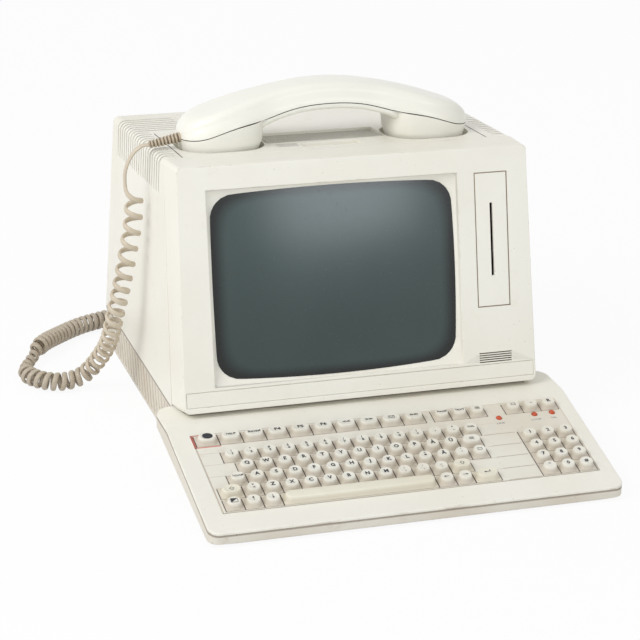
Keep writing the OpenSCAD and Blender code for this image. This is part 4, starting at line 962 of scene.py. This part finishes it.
for i, legend in enumerate(("PAGE", "TEXT", "lines")):
    KEY_SETS["screen_key_%d" % (i + 1)] = ([(51.8 + i * KEY_PITCH, TOP_ROW, KEY_PITCH)], legend)
for i, legend in enumerate(("box", "pair:-", "R")):
    KEY_SETS["call_key_%d" % (i + 1)] = ([(PAD_X + i * PAD_PITCH, TOP_ROW, PAD_PITCH)], legend)
for i, name in enumerate("1 2 3 4 5 6 7 8 9 star 0 hash".split()):
    spot = (PAD_X + (i % 3) * PAD_PITCH, row(3 - i // 3), PAD_PITCH)
    KEY_SETS["keypad_key_" + name] = ([spot], {"star": "*", "hash": "#"}.get(name, name))
print("key pieces", len(KEY_SETS))

# %% Make the keys
LONG_KEY = 60
CREAM_KEYS = ("space_bar", "left_shift_key", "right_shift_key", "return_key")
for node, (spots, legends) in KEY_SETS.items():
    bm = bmesh.new()
    for x, up, width in spots:
        key_shape(bm, x, up, width, BAR if width > LONG_KEY else CROWN)
    for (x, up, width), legend in zip(spots, legends.split()):
        ink = bmesh.new()
        draw_legend(ink, legend)
        for v in ink.verts:
            v.co.z = dish(v.co.x, v.co.y)
        for face in add_part(bm, ink, on_deck(x, up)):
            face.material_index = 1
    plastic = key_cream if node in CREAM_KEYS else key_ivory
    make_piece(node + "_cap", bm, node, [plastic, legend_ink], [node], 50)
print("keys", sum(len(spots) for spots, legends in KEY_SETS.values()))

# %% [markdown]
# ## Signal lamps
# Three small lamps with a shallow dome look out of the panel. A lamp is a spun outline: a straight
# skirt and a low cap.

# %% Lamps
LAMPS, LAMP_UP = {"LINE": 96.1, "LOOP": 125.65, "TEL": 140.4}, 97.0
LAMP = [(0, 1.7), (0.9, 1.58), (1.65, 1.2), (2.15, 0.6), (2.3, 0.0), (2.3, -3.0), (0, -3.0)]
lamp_red = glassy("lamp red", (0.62, 0.085, 0.02), 0.16, 0.0)
bm = bmesh.new()
for x in LAMPS.values():
    lamp = bmesh.new()
    spun(lamp, LAMP, 24)
    add_part(bm, lamp, on_deck(x, LAMP_UP))
make_piece("lamp_domes", bm, "machine", [lamp_red], ["signal_lamps"])

# %% [markdown]
# ## Prints on the panel
# The panel carries a red line that frames the first key, fine brown lines in its blank areas and small
# words under the lamps. They are flat strips a few hundredths of a millimetre above the panel.

# %% Panel prints
def print_piece(name, bm, material, place=DECK, lift=0.03):
    for v in bm.verts:
        v.co.z = lift
    to_place(bm, place)
    make_piece(name, bm, "machine", [material])


PANEL_LEFT, PANEL_RIGHT, PANEL_FRONT, PANEL_BACK, PAD_LEFT = -144.9, 148.8, 21.7, 114.6, 102.5
bm = bmesh.new()
bar(bm, 1.7, 15.6, -145.1, TOP_ROW)
bar(bm, 20.6, 0.75, -135.9, TOP_ROW - 7.3)
bar(bm, 8.0, 0.7, -142.2, TOP_ROW + 7.5)
bar(bm, 2.0, 0.6, -127.2, TOP_ROW + 7.5)
print_piece("red_frame_line", bm, red_ink)
bm = bmesh.new()
for word, x in LAMPS.items():
    letters(bm, word, 2.5, x - 0.8, LAMP_UP - 6.6, 0.05, 1.3)
print_piece("lamp_words", bm, grey_ink)
bm = bmesh.new()
for x in (PANEL_LEFT - 0.2, PANEL_RIGHT + 0.2):
    bar(bm, 0.9, PANEL_BACK - PANEL_FRONT, x, (PANEL_BACK + PANEL_FRONT) / 2)
for y in (PANEL_FRONT - 0.1, PANEL_BACK + 0.1):
    bar(bm, PANEL_RIGHT - PANEL_LEFT, 0.5, (PANEL_LEFT + PANEL_RIGHT) / 2, y)
for i, right in ((1, -132.1), (2, -132.1), (3, -129.1), (4, -129.1)):
    bar(bm, right - PANEL_LEFT, 0.3, (right + PANEL_LEFT) / 2, row(i) + ROW_STEP / 2)
for i, left in enumerate((71.0, 55.0, 73.0, 73.0, 76.0)):
    bar(bm, PAD_LEFT - left, 0.3, (PAD_LEFT + left) / 2, row(i) + ROW_STEP / 2)
print_piece("panel_lines", bm, faint_ink)

# %% [markdown]
# The gaps beside the keys are narrow and deep, and they lie in shade. A thin dark strip paints that shade
# in each gap, just above the panel, and the keypad's strips run through all four rows.

# %% Painted shade in the gaps beside the keys
GAP_W, GAP_LONG = 0.62, 12.9
gaps_at = set()
for spots, legends in KEY_SETS.values():
    for x, up, width in spots:
        gaps_at |= {(round(x + side * width / 2, 1), round(up, 2)) for side in (-1, 1)}
bm = bmesh.new()
for x, up in sorted(gaps_at):
    bar(bm, GAP_W, ROW_STEP if x > PAD_LEFT and up < TOP_ROW else GAP_LONG, x, up)
print_piece("key_gap_lines", bm, painted_gap_shade, lift=0.12)
print("gaps", len(gaps_at))

# %% [markdown]
# On the front face a brown line of old dirt has settled in the joint round the card plate. It is the same
# kind of flat strip, laid in the front face's plane.

# %% Face lines
ON_FACE = FACE @ Matrix.Rotation(math.radians(90), 4, "X")
CARD_X, CARD_LOW, CARD_HIGH = 110.0, 62, 104.7
LINE_W, LINE_H, LINE_THICK = 27.3, 105.6, 0.75
bm = bmesh.new()
outline_box(bm, LINE_W, LINE_H, LINE_THICK, CARD_X, CARD_LOW + CARD_HIGH / 2)
print_piece("card_plate_line", bm, brown_ink, ON_FACE, 0.04)

# %% [markdown]
# On the housing's top, dark strips paint the shade in the joints at both ends of the cradle panel, in the
# grooves of its lane and over four slits. The lane sinks towards the back, so each strip has its own depth.

# %% Cradle lines
CRADLE_X, CRADLE_LONG, CRADLE_Y, LIFT = 123.5, 86.6, 6.7, 0.05
LANE_HALF, LANE_FRONT, LANE_LONG, LANE_LOW, GROOVES, GROOVE_W = 48.3, -10.0, 35.0, 2.2, 10, 0.7
SLITS, SLIT_LONG, SLIT_X, SLIT_Y, SLIT_STEP = 4, 17.0, -35.0, -15.6, 2.6
strips = [(LIFT, 0.9, CRADLE_LONG, side * (CRADLE_X + 0.1), CRADLE_Y) for side in (-1, 1)]
for share in ((i + 0.5) / GROOVES for i in range(GROOVES)):
    strips.append((0.02 - share * LANE_LOW, 2 * LANE_HALF - 0.1, GROOVE_W, 0,
                   LANE_FRONT + share * LANE_LONG + GROOVE_W))
strips += [(LIFT, SLIT_LONG, 0.5, SLIT_X, SLIT_Y - SLIT_STEP * i) for i in range(SLITS)]
bm = bmesh.new()
for high, *strip in strips:
    for v in bar(bm, *strip):
        v.co.z = high
to_place(bm, TOP)
make_piece("cradle_lines", bm, "machine", [painted_gap_shade])

# %% [markdown]
# A dark strip stands in the slit between the bezel and the deck and paints the shade there. It lies a
# little back from the bezel's edge, so only a thin dark line of it shows.

# %% Painted shade under the bezel
SHADE_STRIP_Z, SHADE_STRIP_HIGH, SHADE_STRIP_THICK, SHADE_STRIP_LAP = 0.0393, 0.0020, 0.0010, 0.0006
SHADE_STRIP_PATH = [Vector(p) for p in ((0, -0.0500), (0.1365, -0.0500), (0.1398, -0.0450), (0.1418, -0.0370),
                                 (0.1430, -0.0270))]
bm = bmesh.new()
strip = []
for side in (-1, 1):
    for a, b in zip(SHADE_STRIP_PATH, SHADE_STRIP_PATH[1:]):
        way, spot = b - a, (a + b) / 2
        turn = Matrix.Rotation(side * math.atan2(way.y, way.x), 4, "Z")
        size = (way.length + SHADE_STRIP_LAP, SHADE_STRIP_THICK, SHADE_STRIP_HIGH)
        strip += block(bm, size, (side * spot.x, spot.y, SHADE_STRIP_Z), turn)
round_edges(bm, strip, 0.0002)
make_piece("bezel_shade_strip", bm, "machine", [seam_shade_brown])

# %% [markdown]
# ## Picture tube
# The tube's face is a shallow piece of a large sphere with round corners. A cube gets round upright
# edges, a net of cuts across its front, and every point of the net is then pushed back to the sphere.

# %% Glass face
GLASS_R, GLASS_BACK = 1.250, 0.0005
GLASS_W, GLASS_H, GLASS_THICK, GLASS_CORNER = 0.2065, 0.155, 0.034, 0.020
NET, NET_X, NET_Y = 9, 0.0108, 0.0081
SCREEN = FACE @ Matrix.Translation((-0.01795, 0, 0.0933)) @ Matrix.Rotation(math.radians(90), 4, "X")


def glass_depth(x, y):
    return GLASS_BACK + GLASS_R - math.sqrt(GLASS_R ** 2 - x * x - y * y)


bm = bmesh.new()
block(bm, (GLASS_W, GLASS_H, GLASS_THICK), (0, 0, 0))
upright = [e for e in bm.edges if abs(e.verts[0].co.z - e.verts[1].co.z) > 0.01]
bevelled(bm, upright, GLASS_CORNER, 8, clamp_overlap=True)
for i in range(-NET, NET + 1):
    for normal, at in (((1, 0, 0), (i * NET_X, 0, 0)), ((0, 1, 0), (0, i * NET_Y, 0))):
        everything = bm.verts[:] + bm.edges[:] + bm.faces[:]
        bmesh.ops.bisect_plane(bm, geom=everything, plane_co=at, plane_no=normal)
bmesh.ops.remove_doubles(bm, verts=bm.verts, dist=1e-6)
for v in bm.verts:
    v.co.z = -glass_depth(v.co.x, v.co.y) if v.co.z > 0 else -GLASS_THICK
bmesh.ops.recalc_face_normals(bm, faces=bm.faces)
bmesh.ops.transform(bm, matrix=SCREEN, verts=bm.verts)
print("glass bulges", round((glass_depth(GLASS_W / 2, 0) - GLASS_BACK) / MM, 1), "mm from side to side")

# %% [markdown]
# The glass is grey green where the picture is and nearly black outside it. The border is a rectangle
# with round corners: the two shares of the way to its sides are raised to a high power and added.

# %% Glass finish
LIT_HALF, LIT_POWER = {"X": 0.0985, "Y": 0.0735}, 7.0
tube_glass, tree, shader, coords = new_material("tube glass")
parts = in_plane(tree, coords, SCREEN)
reach = []
for axis, half in LIT_HALF.items():
    share = maths(tree, "DIVIDE", maths(tree, "ABSOLUTE", parts[axis], 0.0), half)
    reach.append(maths(tree, "POWER", share, LIT_POWER))
border = maths(tree, "POWER", maths(tree, "ADD", *reach), 1 / LIT_POWER)
drift = spread(tree, noise(tree, coords, 7, 2), 0.3, 0.7)
phosphor = mix(tree, drift, (0.030, 0.052, 0.050), (0.043, 0.067, 0.065))
toned = mix(tree, spread(tree, border, 0.86, 0.985), phosphor, (0.006, 0.007, 0.007))
link(tree, toned, shader.inputs["Base Color"])
dust = spread(tree, noise(tree, coords, 900, 2), 0.62, 0.80)
link(tree, maths(tree, "ADD", maths(tree, "MULTIPLY", dust, 0.2), 0.19), shader.inputs["Roughness"])
shader.inputs["IOR"].default_value = 1.52
shader.inputs["Specular IOR Level"].default_value = 0.4
make_piece("screen_glass", bm, "machine", [tube_glass], ["picture_tube"])

# %% [markdown]
# The mask is the ivory frame between the bezel's sharp rectangle and the glass. Its inner edge is
# barrel shaped, because a bulging glass meets a sloping frame further out in the middle of each side.
# Four rings of points, two rectangles and two barrels, are joined by bridging their loops.

# %% Screen mask
def mask_ring(bm, half_w, half_h, corner, bow_w, bow_h, depth):
    """A ring of points on a rounded rectangle whose sides bow outwards, in the glass's own plane."""
    made = bmesh.ops.create_circle(bm, cap_ends=False, segments=160, radius=1.0)["verts"]
    for v in made:
        way = Vector((v.co.x * half_w, v.co.y * half_h))
        big = max(abs(way.x) / half_w, abs(way.y) / half_h)
        x, y = way.x / big, way.y / big
        inner_w, inner_h = half_w - corner, half_h - corner
        if corner and abs(x) > inner_w and abs(y) > inner_h:
            cx, cy = math.copysign(inner_w, x), math.copysign(inner_h, y)
            out = Vector((x - cx, y - cy)).normalized() * corner
            x, y = cx + out.x, cy + out.y
        x += math.copysign(bow_w * (1 - (y / half_h) ** 2), x) * (abs(x) / half_w) ** 2
        y += math.copysign(bow_h * (1 - (x / half_w) ** 2), y) * (abs(y) / half_h) ** 2
        v.co = (x, y, -depth(x, y))
    return list({e for v in made for e in v.link_edges})


bm = bmesh.new()
front = mask_ring(bm, 0.10065, 0.0749, 0.0, 0.0, 0.0, lambda x, y: 0.0003)
step = mask_ring(bm, 0.1004, 0.0747, 0.0, 0.0, 0.0, lambda x, y: 0.0026)
lip = mask_ring(bm, 0.0966, 0.0696, 0.0165, 0.0014, 0.0034, lambda x, y: glass_depth(x, y) - 0.0006)
rim = mask_ring(bm, 0.0962, 0.0692, 0.0165, 0.0014, 0.0034, lambda x, y: glass_depth(x, y) + 0.0006)
for one, other in ((front, step), (step, lip), (lip, rim)):
    bmesh.ops.bridge_loops(bm, edges=one + other)
bmesh.ops.recalc_face_normals(bm, faces=bm.faces)
if sum(f.normal.z * f.calc_area() for f in bm.faces) < 0:
    bmesh.ops.reverse_faces(bm, faces=bm.faces)
bmesh.ops.transform(bm, matrix=SCREEN, verts=bm.verts)
make_piece("screen_mask", bm, "machine", [case_ivory])

# %% [markdown]
# ## Inner pieces
# Boards, the yoke and the speaker are closed in, and only a glimpse shows through the vents and the
# slots. They and the panel under the keys stay as they are and get plain finishes.

# %% Finishes of inner pieces
steel = moulded("zinc steel", (0.55, 0.55, 0.54), (0.42, 0.41, 0.38), 0.5, 0.2, 0.0, 0.36, 0.5)
shader_of(steel).inputs["Metallic"].default_value = 1.0
board_green = moulded("board green", (0.035, 0.12, 0.05), (0.02, 0.07, 0.03), 0.6, 0.2, 0.0, 0.40, 0.5)
yoke_brown = moulded("winding brown", (0.22, 0.09, 0.035), (0.12, 0.05, 0.02), 0.6, 0.2, 0.0, 0.42, 1.0)
INNER = ((panel_ivory, "key_panel"), (steel, "case_screws tube_band"), (foot_rubber, "contact_mat"),
         (board_green, "keyboard_board neck_board main_board"), (yoke_brown, "deflection_yoke"),
         (dark_plastic, "flyback_transformer card_reader speaker ear_receiver mouth_microphone"))
for material, nodes in INNER:
    for node in nodes.split():
        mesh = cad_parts[node].data
        mesh.materials.clear()
        mesh.materials.append(material)
        print(node, "in", material.name)

# %% [markdown]
# ## Floor and light
# A wide pale floor catches the shadow. Two large soft lamps, one high on the left and one on the right,
# and a pale sky give the even light of a product photograph.

# %% Floor
def seen_directly(tree):
    """1 for rays that show a surface as it is: straight, mirrored or through glass."""
    rays = tree.nodes.new("ShaderNodeLightPath").outputs
    seen = maths(tree, "MAXIMUM", rays["Is Camera Ray"], rays["Is Glossy Ray"])
    return maths(tree, "MAXIMUM", seen, rays["Is Transmission Ray"])


FLOOR_HALF, FLOOR_GLOW = 9, 0.92
bm = bmesh.new()
bmesh.ops.create_grid(bm, x_segments=1, y_segments=1, size=FLOOR_HALF)
mesh = bpy.data.meshes.new("floor")
bm.to_mesh(mesh)
bm.free()
floor = bpy.data.objects.new("floor", mesh)
scene.collection.objects.link(floor)
floor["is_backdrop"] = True
paper = bpy.data.materials.new("pale floor")
paper.use_nodes = True
tree = paper.node_tree
matt = shader_of(paper)
matt.inputs["Base Color"].default_value = (0.88, 0.88, 0.88, 1)
matt.inputs["Roughness"].default_value = 0.9
matt.inputs["Specular IOR Level"].default_value = 0.0
bright = tree.nodes.new("ShaderNodeEmission")
bright.inputs["Color"].default_value = (1, 1, 1, 1)
blendin = tree.nodes.new("ShaderNodeMixShader")
link(tree, maths(tree, "MULTIPLY", seen_directly(tree), FLOOR_GLOW), blendin.inputs[0])
link(tree, matt.outputs[0], blendin.inputs[1])
link(tree, bright.outputs[0], blendin.inputs[2])
link(tree, blendin.outputs[0], next(n for n in tree.nodes if n.type == "OUTPUT_MATERIAL").inputs["Surface"])
mesh.materials.append(paper)
print("floor", 2 * FLOOR_HALF, "m wide")

# %% Lamps and sky
def soft_lamp(name, place, aim, size, power):
    data = bpy.data.lights.new(name, "AREA")
    data.shape = "RECTANGLE"
    data.size, data.size_y = size
    data.energy = power
    lamp = bpy.data.objects.new(name, data)
    scene.collection.objects.link(lamp)
    lamp.location = place
    lamp.rotation_euler = (Vector(aim) - Vector(place)).to_track_quat("-Z", "Y").to_euler()
    print(name, power, "W")
    return lamp


SKY_DIM = 0.635
soft_lamp("key lamp", (-1.85, -0.7, 1.85), (0, 0, 0.1), (1.35, 1.35), 32)
soft_lamp("fill lamp", (1.05, -3.0, 0.98), (0, 0, 0.15), (0.9, 0.55), 11).data.color = (0.86, 0.95, 1.0)
world = bpy.data.worlds.new("studio")
scene.world = world
world.use_nodes = True
tree = world.node_tree
backdrop = next(n for n in tree.nodes if n.type == "BACKGROUND")
backdrop.inputs["Color"].default_value = (1.0, 1.0, 1.0, 1)
link(tree, spread(tree, seen_directly(tree), 0.0, 1.0, SKY_DIM, 1.0), backdrop.inputs["Strength"])

# %% Sizes and finish
low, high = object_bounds()
print("visual box", [round(v, 4) for v in (*low, *high)])
